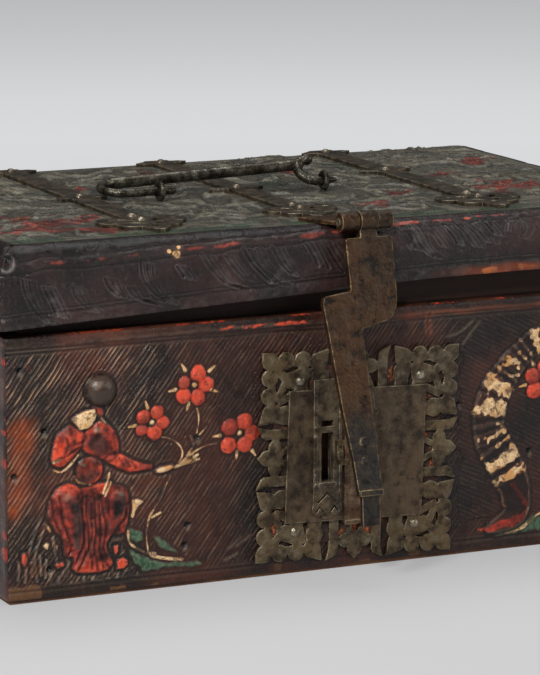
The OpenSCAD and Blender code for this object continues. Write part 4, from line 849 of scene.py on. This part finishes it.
def markTop(s):
    x, y = s.u, s.v
    free = besideIron(x, y)
    # embossed leaves and tendrils, long worn, told only by their ridges
    warpX, warpY = x + 7 * s.noise(23, 111), y + 7 * s.noise(23, 112)
    ridge = np.abs(softNoise(warpX, warpY, 7.0, 113)) - 0.13
    fine = np.abs(softNoise(warpX, warpY, 3.4, 114)) - 0.1
    toEdge = [half - np.abs(along) for half, along in zip(topHalf(), (x, y))]
    inside = smooth(3, 8, toEdge[0]) * smooth(3, 8, toEdge[1])
    emboss = 0.75 * smooth(0.1, -0.12, ridge) + 0.35 * smooth(0.12, -0.1, fine) + 0.2 * s.noise(2.2, 122)
    s.height += emboss * free * inside
    s.add("line", 0.7 * groove(ridge - 0.2, 0.08) * inside)
    # painted shade between the ridges, halved towards the right, which is left lighter as painted sheen
    s.add("shade", 0.7 * smooth(0.02, 0.3, ridge) * inside * (1 - 0.5 * smooth(30, 110, x)))
    ragged = 0.5 * softNoise(warpX, warpY, 8, 115) + 0.35 * s.noise(3, 116)
    for key, share in (("red", 0.95), ("green", 0.68)):
        patch = np.maximum(-1, np.maximum.reduce([1 - s.disc(centre, 0) / r for centre, r in topMarks[key]]))
        s.add(key, np.clip(0.5 + 0.7 * (patch - 0.35 + ragged), 0, 1) * share)
    s.add("cream", 0.54 * smooth(0.25, 0.6, s.noise(2.2, 119)) * smooth(0.0, 0.5, s.noise(21, 120)))
    s.add("crimson", 0.6 * smooth(0.0, 0.5, s.noise(6, 123)))
    s.add("shade", 0.3 * smooth(0.0, 0.6, s.noise(26, 124)))
    for d in (toEdge[0] - 0.5, toEdge[0] - 4, toEdge[1] - 0.5, toEdge[1] - 4):
        s.cut(d, 0.25, 0.5, 0.7, 0.6)
    s.add("green", 0.8 * smooth(5.5, 2, np.abs(76 + y)) * smooth(-0.6, 0.0, s.noise(14, 121)))
    # swellings of the leather, and the raised right rear of the lid
    for cx, cy, wide, rise in topMarks["swells"]:
        s.height += rise * np.exp(-((x - cx) ** 2 + (y - cy) ** 2) / wide ** 2) * free
    s.height += 1.3 * smooth(74, 90, x) * smooth(20, 50, y) * smooth(80, 70, y) * smooth(130, 120, x)
    s.height = np.where(free < 0.999, np.minimum(s.height, s.height * free), s.height)
    # lighter rubbed ridges, and painted shade in the hollows
    s.wearAndHollowShade(0.45, 0.85)


def buildLid():
    # four sides with the shoulder, and the level top between them
    k, bands = lidSkin, []
    for side in "frbl":
        s, rim = lidBand(side, k["frontCell"] if side == "f" else k["cell"])
        markBand(s, rim, side == "f")
        swell = lidSwell(*np.moveaxis(s.point, -1, 0))
        join = smooth(k["top"] + 4.5, k["top"] + 0.5, s.v)
        s.height = s.height * join + np.where(join < 1, np.minimum(swell, 0.0) * (1 - join), 0)
        s.hem(k["thick"])
        bands.append(s)
    wide, deep = topHalf()
    x, y = np.meshgrid(spaced(-wide, wide, k["topCell"]), spaced(-deep, deep, k["topCell"]))
    level = np.full(x.shape, k["top"])
    s = Sheet(np.stack([x, y, level], -1), (0, 0, 1), x, y)
    markTop(s)
    swell = lidSwell(x, y, level)
    edge = np.minimum(wide - np.abs(x), deep - np.abs(y))
    s.height = (s.height + swell * besideIron(x, y)) * smooth(0, 5, edge) + np.minimum(swell, 0) * smooth(5, 0, edge)
    return sheetObject("lidSides", bands, "lid", "lid_leather"), sheetObject("lidTop", [s], "lid", "lid_leather")


lidSides, lidTop = buildLid()


# materials

class Field:
    # an output in a node tree; sums of fields add math nodes to it
    def __init__(self, socket):
        self.socket, self.tree = socket, socket.id_data

    def __add__(self, other):
        return calc("ADD", self, other)

    def __sub__(self, other):
        return calc("SUBTRACT", self, other)

    def __rsub__(self, other):
        return calc("SUBTRACT", other, self)

    def __mul__(self, other):
        return calc("MULTIPLY", self, other)

    def __truediv__(self, other):
        return calc("DIVIDE", self, other)


def wire(node, inputs):
    for key, value in inputs.items():
        if isinstance(value, Field):
            value.tree.links.new(value.socket, node.inputs[key])
        else:
            node.inputs[key].default_value = value


def addNode(tree, kind, inputs=None, out=0, **settings):
    node = tree.nodes.new("ShaderNode" + kind)
    for key, value in settings.items():
        setattr(node, key, value)
    wire(node, inputs or {})
    return [Field(node.outputs[key]) for key in out] if isinstance(out, tuple) else Field(node.outputs[out])


def calc(operation, a, b=0.0):
    return addNode((a if isinstance(a, Field) else b).tree, "Math", {0: a, 1: b}, operation=operation)


def noise(at, size, detail=3.0, roughness=0.55, distortion=0.0):
    # size in millimetres
    return addNode(at.tree, "TexNoise", {"Vector": at, "Scale": 1 / size, "Detail": detail, "Roughness": roughness,
                                         "Distortion": distortion}, out="Fac")


def ramp(value, low, high, bottom=0.0, top=1.0):
    return addNode(value.tree, "MapRange", {"Value": value, "From Min": low, "From Max": high, "To Min": bottom,
                                            "To Max": top}, interpolation_type="SMOOTHSTEP")


def linear(colour):
    return (*(c / 12.92 if c <= 0.04045 else ((c + 0.055) / 1.055) ** 2.4 for c in (c / 255 for c in colour)), 1)


def blend(amount, under, over, mode="MIX"):
    # colours are fields, or red, green and blue from 0 to 255
    under, over = (c if isinstance(c, Field) else linear(c) for c in (under, over))
    return addNode(amount.tree, "Mix", {0: amount, 6: under, 7: over}, out=2, data_type="RGBA", blend_type=mode)


def coat(colour, *layers):
    # layers over a colour, each with its amount and its own colour
    for amount, over in layers:
        colour = blend(amount, colour, over)
    return colour


def relief(normal, *layers):
    # bumps one over another, each with its height, depth in millimetres and strength
    for height, depth, strength in layers:
        inputs = {"Height": height, "Distance": depth * mm, "Strength": strength}
        if normal:
            inputs["Normal"] = normal
        normal = addNode(height.tree, "Bump", inputs)
    return normal


def newMaterial(name):
    # with the object's own coordinates, in millimetres
    material = bpy.data.materials.new(name)
    material.use_nodes = True
    tree = material.node_tree
    place = addNode(tree, "TexCoord", out="Object")
    at = addNode(tree, "Mapping", {"Vector": place, "Scale": (1000, 1000, 1000)})
    return material, tree.nodes["Principled BSDF"], at


def heightOf(at):
    return addNode(at.tree, "SeparateXYZ", {"Vector": at}, out="Z")


def bevel(tree, size, samples):
    return addNode(tree, "Bevel", {"Radius": size * mm}, samples=samples)


leatherLook = {
    "gloss": 0.34, "rough": (0.2, 0.42), "hatchSlope": 53, "hatchSlopeRight": -26, "hatchPitch": 1.55,
    "hatchLight": 0.9, "edgeShare": 0.55, "dustShare": 0.35, "blotches": (26, 6.5, 1.3),
    "dark": (37, 25, 19), "warm": (84, 44, 31), "soot": (19, 14, 12), "dust": (108, 76, 58), "rust": (158, 70, 26),
    "scratchAndGlint": (176, 138, 104), "red": (200, 56, 29), "redPale": (208, 82, 50), "redDark": (122, 34, 20),
    "crimson": (112, 31, 24), "green": (42, 66, 48), "greenPale": (80, 104, 78), "cream": (226, 196, 152),
    "gold": (186, 132, 70), "goldDark": (84, 52, 28), "bare": (84, 54, 32), "barePale": (120, 82, 50),
    "polish": (27, 25, 24), "polishWarm": (50, 36, 31), "incised": (12, 9, 8), "edge": (186, 164, 140),
    "grimeAndShade": (98, 88, 82)}
bodyLook = dict(leatherLook, hatchSlopeRight=53, hatchLight=0.55)
lidLook = dict(
    leatherLook, edgeShare=0.8, rough=(0.14, 0.34), dark=(28, 23, 22), warm=(52, 34, 31), soot=(14, 12, 12),
    dust=(84, 74, 68), red=(140, 48, 36), redPale=(166, 90, 74), redDark=(84, 32, 26), crimson=(66, 28, 25),
    edge=(142, 134, 128), cream=(226, 186, 130), bare=(116, 54, 22), barePale=(180, 100, 50))
topLook = dict(
    lidLook, blotches=(16, 3.6, 1.0), rough=(0.2, 0.42), gloss=0.5, edgeShare=0.24, dustShare=0.5, dark=(80, 79, 70),
    warm=(100, 94, 80), soot=(38, 37, 33), dust=(146, 142, 124), red=(112, 42, 32), redPale=(134, 72, 58),
    green=(42, 54, 40), greenPale=(72, 84, 62), cream=(172, 162, 124), gold=(138, 122, 84), edge=(156, 148, 126))


def paintedLeather(name, look):
    material, shader, at = newMaterial(name)

    def layers(key):
        colour, last = addNode(at.tree, "Attribute", out=("Color", "Alpha"), attribute_name=key)
        return addNode(at.tree, "SeparateColor", {"Color": colour}, out=(0, 1, 2)) + [last]
    red, green, cream, worn = layers("paint")
    line, hatch, polish, light = layers("form")
    rust, crimson, shade, faint = layers("tone")
    sheet = addNode(at.tree, "Attribute", out="Vector", attribute_name="sheet")
    x, y = addNode(at.tree, "SeparateXYZ", {"Vector": sheet}, out=(0, 1))
    wide, mid, fine = (noise(at, *values) for values in zip(look["blotches"], (4, 5, 4), (0.55, 0.6, 0.65)))
    grain, patchy = noise(at, 0.45, 3, 0.6), noise(at, 2.4, 6, 0.75)

    # slanting knife cuts over the ground, flatter at the right of the lock
    side = ramp(x + (mid - 0.5) * 12.0, 44.0, 44.5) * ramp(y, 13.0, 13.5)

    def slanted(turn):
        slopes = [math.radians(look[key] + turn) for key in ("hatchSlope", "hatchSlopeRight")]
        left, right = (x * math.sin(slope) - y * math.cos(slope) for slope in slopes)
        return addNode(at.tree, "Mix", {0: side, 2: left, 3: right}, data_type="FLOAT")
    turns = (slanted(0) + noise(at, 20, 2) * 2.4 + noise(at, 3, 2) * 0.2) / look["hatchPitch"]
    strokeAt = addNode(at.tree, "CombineXYZ", {"X": turns, "Y": slanted(90) / 15.0})
    uneven = calc("SINE", turns * math.tau) + (noise(strokeAt, 1 / 1.3, 1.0, 0.5) - 0.5) * 2.6
    clear = 1.0 - faint
    cut = ramp(uneven, -0.3, -1.0) * hatch * (clear * 0.7 + 0.3)
    # pale lines on the ridges between the cuts: paler leather with a painted highlight on it
    scratchAndGlint = ramp(uneven, 0.75, 1.2) * ramp(noise(at, 8, 4, 0.7), 0.36, 0.62, 0.18, 1.0) * hatch * clear

    def painted(amount, soften, low, rag):
        return ramp(amount + (soften - 0.5) * rag, low, low + 0.12)
    redColour = coat(
        look["red"], (ramp(fine, 0.38, 0.68), look["redPale"]), (ramp(mid, 0.46, 0.68), look["redDark"]),
        (crimson * ramp(patchy, 0.34, 0.52, 0.35, 0.95), look["crimson"]),
        (ramp(patchy, 0.54, 0.66, 0, 0.7), look["soot"]))
    creamColour = coat(
        look["cream"], (ramp(grain, 0.46, 0.66), look["gold"]), (ramp(mid, 0.46, 0.62, 0, 0.85), look["gold"]),
        (ramp(cream, 0.68, 0.52, 0, 0.6), look["rust"]), (ramp(patchy, 0.50, 0.60, 0, 0.85), look["goldDark"]))
    shiny = blend(ramp(mid, 0.4, 0.65), look["polish"], look["polishWarm"])
    # the light mark lays on the pale edge colour: rubbed edges, and painted highlights and glints
    colour = coat(
        look["dark"], (ramp(wide, 0.36, 0.62), look["warm"]), (ramp(mid, 0.44, 0.70, 0, 0.75), look["soot"]),
        (ramp(fine, 0.52, 0.72, 0, look["dustShare"]), look["dust"]),
        (rust * ramp(mid, 0.30, 0.60, 1.0, 0.45), look["rust"]),
        (cut * 0.62, look["soot"]), (scratchAndGlint * look["hatchLight"], look["scratchAndGlint"]),
        (painted(red, patchy, 0.5, 0.55), redColour),
        (painted(green, patchy, 0.54, 0.7), blend(ramp(fine, 0.40, 0.66), look["green"], look["greenPale"])),
        (painted(cream, patchy, 0.5, 0.4), creamColour),
        (painted(worn, mid, 0.45, 0.9), blend(fine, look["bare"], look["barePale"])),
        (polish * ramp(fine, 0.3, 0.7, 0.96, 0.8), shiny), (line * 0.88, look["incised"]),
        (light * ramp(mid, 0.3, 0.7, look["edgeShare"], look["edgeShare"] * 0.5), look["edge"]))
    calm = 0.9 - polish * 0.5
    cuts = uneven * (hatch * (clear * 0.75 + 0.25))
    # the shade mark multiplies in the grime colour: dirt, and painted shade where a sheet puts it
    wire(shader, {
        "Specular IOR Level": look["gloss"],
        "Base Color": blend(shade * ramp(mid, 0.3, 0.6, 1.0, 0.7), colour, look["grimeAndShade"], "MULTIPLY"),
        "Roughness": ramp(mid, 0.3, 0.7, *look["rough"]) - polish * 0.09 - light * 0.08,
        "Normal": relief(None, (mid, 0.8, 0.6), (cuts, 0.15, 1.0), (patchy, 0.32, calm), (fine, 0.24, calm),
                         (grain, 0.1, calm))})
    return material


for obj, look in zip((frontLeather, bodyLeather, lidSides, lidTop), (leatherLook, bodyLook, lidLook, topLook)):
    obj.data.materials.append(paintedLeather(obj.name + "Paint", look))


# iron: the nodes of each kind, and how it differs from the common look
ironLook = {
    "metal": 0.4, "sootShare": 0.65, "edgeSize": 0.8, "roundSize": 1.6, "edgeLow": 0.1, "edgeHigh": 0.85,
    "rough": (0.22, 0.5), "forge": 2.0, "hammer": 0.9, "pit": 0.25, "dark": (62, 51, 37), "warm": (90, 73, 49),
    "grey": (108, 99, 80), "soot": (20, 16, 12), "rust": (92, 54, 30), "edge": (150, 138, 112)}
irons = {
    "plate": (["lock_plate"], {}),
    "cover": (["lock_cover"], dict(
        dark=(58, 46, 34), warm=(82, 66, 48), grey=(92, 78, 60), hammer=0.6, roundSize=0.8)),
    "slotFrame": (["slot_frame", "keyhole_guard"], dict(
        dark=(54, 45, 35), grey=(100, 90, 73), edge=(176, 162, 138), edgeSize=0.35, roundSize=0.5, edgeHigh=0.8,
        hammer=0.4)),
    "hasp": (["hasp", "hasp_leaf", "hasp_rivets"], dict(
        sootShare=0.9, rust=(116, 68, 34), dark=(36, 27, 18), warm=(66, 43, 24), grey=(60, 50, 36), cool=(36, 36, 35),
        coolTop=68, edge=(160, 136, 100), forge=2.6, hammer=0.6, edgeSize=0.7, roundSize=0.9, rough=(0.24, 0.44))),
    "guide": (["guide_strip"], dict(dark=(68, 44, 28), warm=(96, 62, 38), edgeSize=0.4, roundSize=0.4)),
    "strap": (["left_strap", "middle_strap", "right_strap",
               "hinge_leaf_left", "hinge_leaf_middle", "hinge_leaf_right"], dict(
        dark=(44, 40, 33), warm=(68, 56, 42), grey=(84, 80, 68), edgeSize=0.5, roundSize=0.5, hammer=0.5)),
    "handle": (["handle", "handle_eyes"], dict(
        metal=0.75, dark=(48, 46, 40), warm=(66, 60, 50), grey=(122, 120, 108), edgeSize=0.3, roundSize=0.3,
        forge=0.5, hammer=0.25, rough=(0.2, 0.38))),
    "nail": (["plate_nails", "strap_nails", "leaf_nails", "hasp_pin", "hinge_pins"], dict(
        metal=0.7, dark=(112, 104, 90), warm=(128, 114, 94), grey=(170, 162, 146), rough=(0.18, 0.36),
        edge=(150, 140, 120), edgeSize=0.2, roundSize=0.2, hammer=0.15, forge=0.3)),
    "lock": (["lock_base", "bolt_guides", "lock_spring", "lock_bolt", "hasp_staple"], dict(
        dark=(50, 42, 33), edge=(150, 140, 120), edgeSize=0.4, roundSize=0.3))}


def forgedIron(name, look):
    material, shader, at = newMaterial(name)
    wide, mid, fine = noise(at, 16, 4, 0.6), noise(at, 4, 5, 0.65), noise(at, 0.9, 4, 0.7)
    plain = addNode(at.tree, "NewGeometry", out="Normal")
    facing = addNode(at.tree, "VectorMath", {0: bevel(at.tree, look["edgeSize"], 8), 1: plain}, out="Value",
                     operation="DOT_PRODUCT")
    # edges painted lighter, as worn metal and as painted glints
    edge = ramp(1.0 - facing, 0.01, 0.12)
    colour = blend(ramp(wide, 0.35, 0.65), look["dark"], look["warm"])
    if "cool" in look:
        # bluish where it hangs low and has been handled
        height = heightOf(at) + (wide - 0.5) * 30.0
        colour = blend(ramp(height, look["coolTop"], look["coolTop"] - 14, 0, 0.85), colour, look["cool"])
    colour = coat(
        colour, (ramp(mid, 0.46, 0.70, 0, 0.7), look["grey"]),
        (ramp(mid, 0.48, 0.36, 0, look["sootShare"]), look["soot"]), (ramp(fine, 0.58, 0.72, 0, 0.6), look["rust"]),
        (edge * ramp(mid, 0.4, 0.62, look["edgeLow"], look["edgeHigh"]), look["edge"]))
    wire(shader, {
        "Metallic": look["metal"], "Specular IOR Level": 0.35, "Base Color": colour,
        "Roughness": ramp(fine, 0.3, 0.7, *look["rough"]),
        "Normal": relief(bevel(at.tree, look["roundSize"], 8), (wide, look["forge"], 0.6), (mid, look["hammer"], 0.7),
                         (fine, look["pit"], 0.8))})
    return material


woodLook = {"dark": (78, 48, 34), "pale": (118, 80, 54), "fibre": (60, 38, 28), "stain": (56, 38, 32),
            "lip": (26, 14, 10), "lipLow": 92.0, "lipHigh": 95.5}
woods = {
    "x": ["bottom_board", "front_board", "back_board", "lid_board", "lid_front_rail", "lid_back_rail"],
    "y": ["left_end_board", "right_end_board", "lid_left_rail", "lid_right_rail"], "z": ["wall_pegs", "lid_pegs"]}


def agedWood(name, look, along):
    material, shader, at = newMaterial(name)
    stretch = [0.06 if axis == along else 1.0 for axis in "xyz"]
    grainAt = addNode(at.tree, "Mapping", {"Vector": at, "Scale": stretch})
    rings, fibre = noise(grainAt, 5.5, 5, 0.6, 1.6), noise(grainAt, 0.8, 4, 0.7)
    # painted shade: the lip and all the wood above it, the lid's inside too, are painted near black for the shade
    # under the lid
    colour = coat(
        look["dark"], (ramp(rings, 0.38, 0.64), look["pale"]), (ramp(fibre, 0.5, 0.75, 0, 0.6), look["fibre"]),
        (ramp(noise(at, 30, 4), 0.45, 0.7, 0, 0.55), look["stain"]),
        (ramp(heightOf(at), look["lipLow"], look["lipHigh"], 0, 0.9), look["lip"]))
    wire(shader, {
        "Specular IOR Level": 0.3, "Base Color": colour, "Roughness": ramp(rings, 0.3, 0.7, 0.55, 0.75),
        "Normal": relief(bevel(at.tree, 0.5, 4), (rings, 0.25, 0.6), (fibre, 0.12, 0.8))})
    return material


clothLook = {"thread": 0.5, "red": (78, 32, 20), "orange": (164, 80, 34), "cream": (204, 160, 112),
             "soot": (30, 21, 16)}


def fadedCloth(name, look):
    material, shader, at = newMaterial(name)
    threads = {"Vector": at, "Scale": 1 / look["thread"] / 3.2, "Distortion": 1.2, "Detail": 2.0}
    weave = calc("MAXIMUM", *(addNode(at.tree, "TexWave", threads, out="Fac", bands_direction=way) for way in "XZ"))
    patch = noise(at, 5, 5, 0.7)
    colour = coat(
        look["red"], (ramp(patch, 0.44, 0.60), look["orange"]),
        (ramp(noise(at, 1.2, 4), 0.56, 0.7, 0, 0.7), look["cream"]),
        # mostly near black, as soot and as painted shade in the openings of the plate
        (ramp(noise(at, 8, 4, 0.65), 0.36, 0.47, 0, 0.94), look["soot"]),
        (ramp(weave, 0.7, 0.2, 0, 0.4), look["soot"]))
    wire(shader, {"Roughness": 0.9, "Sheen Weight": 0.25, "Specular IOR Level": 0.2, "Base Color": colour,
                  "Normal": relief(None, (patch, 0.3, 0.5), (weave, 0.12, 0.8))})
    return material


def dress(names, material):
    for name in names:
        mesh = nodes[name].data
        mesh.materials.clear()
        mesh.materials.append(material)


for kind, (names, changes) in irons.items():
    dress(names, forgedIron(kind + "Iron", dict(ironLook, **changes)))
for axis, names in woods.items():
    dress(names, agedWood("agedWood" + axis.upper(), woodLook, axis))
dress(["lock_underlay"], fadedCloth("underlayCloth", clothLook))
print("stage: materials")

# studio: a pale floor all round, soft lamps and a pale room, in metres
studio = {
    "radii": [0.3, 0.8, 2.0, 5.0, 9.0], "floor": (0.49, 0.49, 0.495), "world": 0.2, "room": 0.07, "aim": (0, 0, 0.06),
    # painted light: the colours the floor glows with where the camera sees it, straight or mirrored, by the share of
    # its radius
    "far": [(0.0, (201, 201, 202)), (0.03, (201, 201, 202)), (0.08, (211, 212, 213)), (0.122, (217, 218, 220)),
            (0.145, (213, 214, 216)), (0.162, (207, 208, 210)), (0.181, (200, 201, 203)), (0.204, (193, 194, 196)),
            (0.227, (187, 188, 190)), (0.36, (130, 131, 133)), (0.6, (90, 90, 92)), (1.0, (76, 76, 78))],
    # place, size and power
    "lamps": [((-1.15, -0.85, 1.15), 0.4, 19.0), ((1.2, -1.0, 0.7), 0.9, 7.0), ((0.2, 0.35, 1.8), 1.0, 15.0),
              ((-0.85, -1.15, 1.05), 0.14, 13.0)]}


def newObject(name, data):
    obj = bpy.data.objects.new(name, data)
    bpy.context.scene.collection.objects.link(obj)
    return obj


def seenOnly(tree):
    # 1 for what the camera sees, straight, mirrored or through something clear
    straight, glossy, through = addNode(
        tree, "LightPath", out=("Is Camera Ray", "Is Glossy Ray", "Is Transmission Ray"))
    return calc("MAXIMUM", straight, calc("MAXIMUM", glossy, through))


def buildStudio():
    ring, radii = 96, studio["radii"]
    points, faces = [(0, 0, 0)], []
    for r in radii:
        points += [(r * math.cos(math.tau * i / ring), r * math.sin(math.tau * i / ring), 0) for i in range(ring)]
    for i in range(ring):
        n = (i + 1) % ring
        faces.append((0, 1 + i, 1 + n))
        for a in range(1, 1 + ring * (len(radii) - 1), ring):
            faces.append((a + i, a + ring + i, a + ring + n, a + n))
    mesh = bpy.data.meshes.new("studioFloor")
    mesh.from_pydata(points, [], faces)
    floor = newObject("studioFloor", mesh)
    material, shader, at = newMaterial("studioFloor")
    tree = at.tree
    away = addNode(tree, "VectorMath", {0: at}, out="Value", operation="LENGTH") * mm
    shades = [(*(c * share for c in studio["floor"]), 1) for share in (0.985, 1)]
    mottled = addNode(tree, "Mix", {0: noise(at, 400, 2), 6: shades[0], 7: shades[1]}, out=2, data_type="RGBA")
    wire(shader, {"Roughness": 0.85, "Specular IOR Level": 0.1, "Base Color": mottled})
    steps = addNode(tree, "ValToRGB", {"Fac": away / radii[-1]}, out="Color")
    elements = steps.socket.node.color_ramp.elements
    while len(elements) < len(studio["far"]):
        elements.new(0.5)
    for element, (place, colour) in zip(elements, studio["far"]):
        element.position, element.color = place, linear(colour)
    glow = addNode(tree, "Emission", {"Color": steps})
    # painted light: near the box the floor glows at about a third of this, softening the box's shadow there
    amount = ramp(away, 0.15, 0.5, 0.35, 1.0) * seenOnly(tree)
    mixed = addNode(tree, "MixShader", {0: amount, 1: Field(shader.outputs["BSDF"]), 2: glow})
    wire(tree.nodes["Material Output"], {"Surface": mixed})
    mesh.materials.append(material)

    world = bpy.data.worlds.new("studioRoom")
    bpy.context.scene.world = world
    world.use_nodes = True
    strength = ramp(seenOnly(world.node_tree), 0, 1, studio["world"], studio["room"])
    wire(world.node_tree.nodes["Background"], {"Strength": strength, "Color": (1, 1, 1, 1)})
    for place, size, power in studio["lamps"]:
        lamp = bpy.data.lights.new("softLamp", "AREA")
        lamp.size, lamp.energy = size, power
        holder = newObject("softLamp", lamp)
        holder.location = place
        holder.rotation_euler = (Vector(studio["aim"]) - Vector(place)).to_track_quat("-Z", "Y").to_euler()


# the photo's view; the picture is 675 high
view = {"azimuth": 24.684, "elevation": 11.362, "roll": 0.11, "distance": 1.386993, "target": (0, 0, 0.060),
        "lens": 192.0, "shiftX": 14.163 / 675, "shiftY": 27.65 / 675}


def placeCamera():
    a, e = math.radians(view["azimuth"]), math.radians(view["elevation"])
    back = Vector((-math.sin(a) * math.cos(e), -math.cos(a) * math.cos(e), math.sin(e)))
    data = bpy.data.cameras.new("photoCamera")
    data.lens, data.sensor_width, data.sensor_fit = view["lens"], 36.0, "AUTO"
    data.shift_x, data.shift_y = view["shiftX"], view["shiftY"]
    data.clip_start, data.clip_end = 0.05, 60
    camera = newObject("photoCamera", data)
    turn = back.to_track_quat("Z", "Y").to_matrix().to_4x4() @ Matrix.Rotation(math.radians(view["roll"]), 4, "Z")
    camera.matrix_world = Matrix.Translation(Vector(view["target"]) + back * view["distance"]) @ turn
    bpy.context.scene.camera = camera


buildStudio()
placeCamera()
bpy.context.scene.view_settings.view_transform = "Standard"
print("stage: studio and camera")
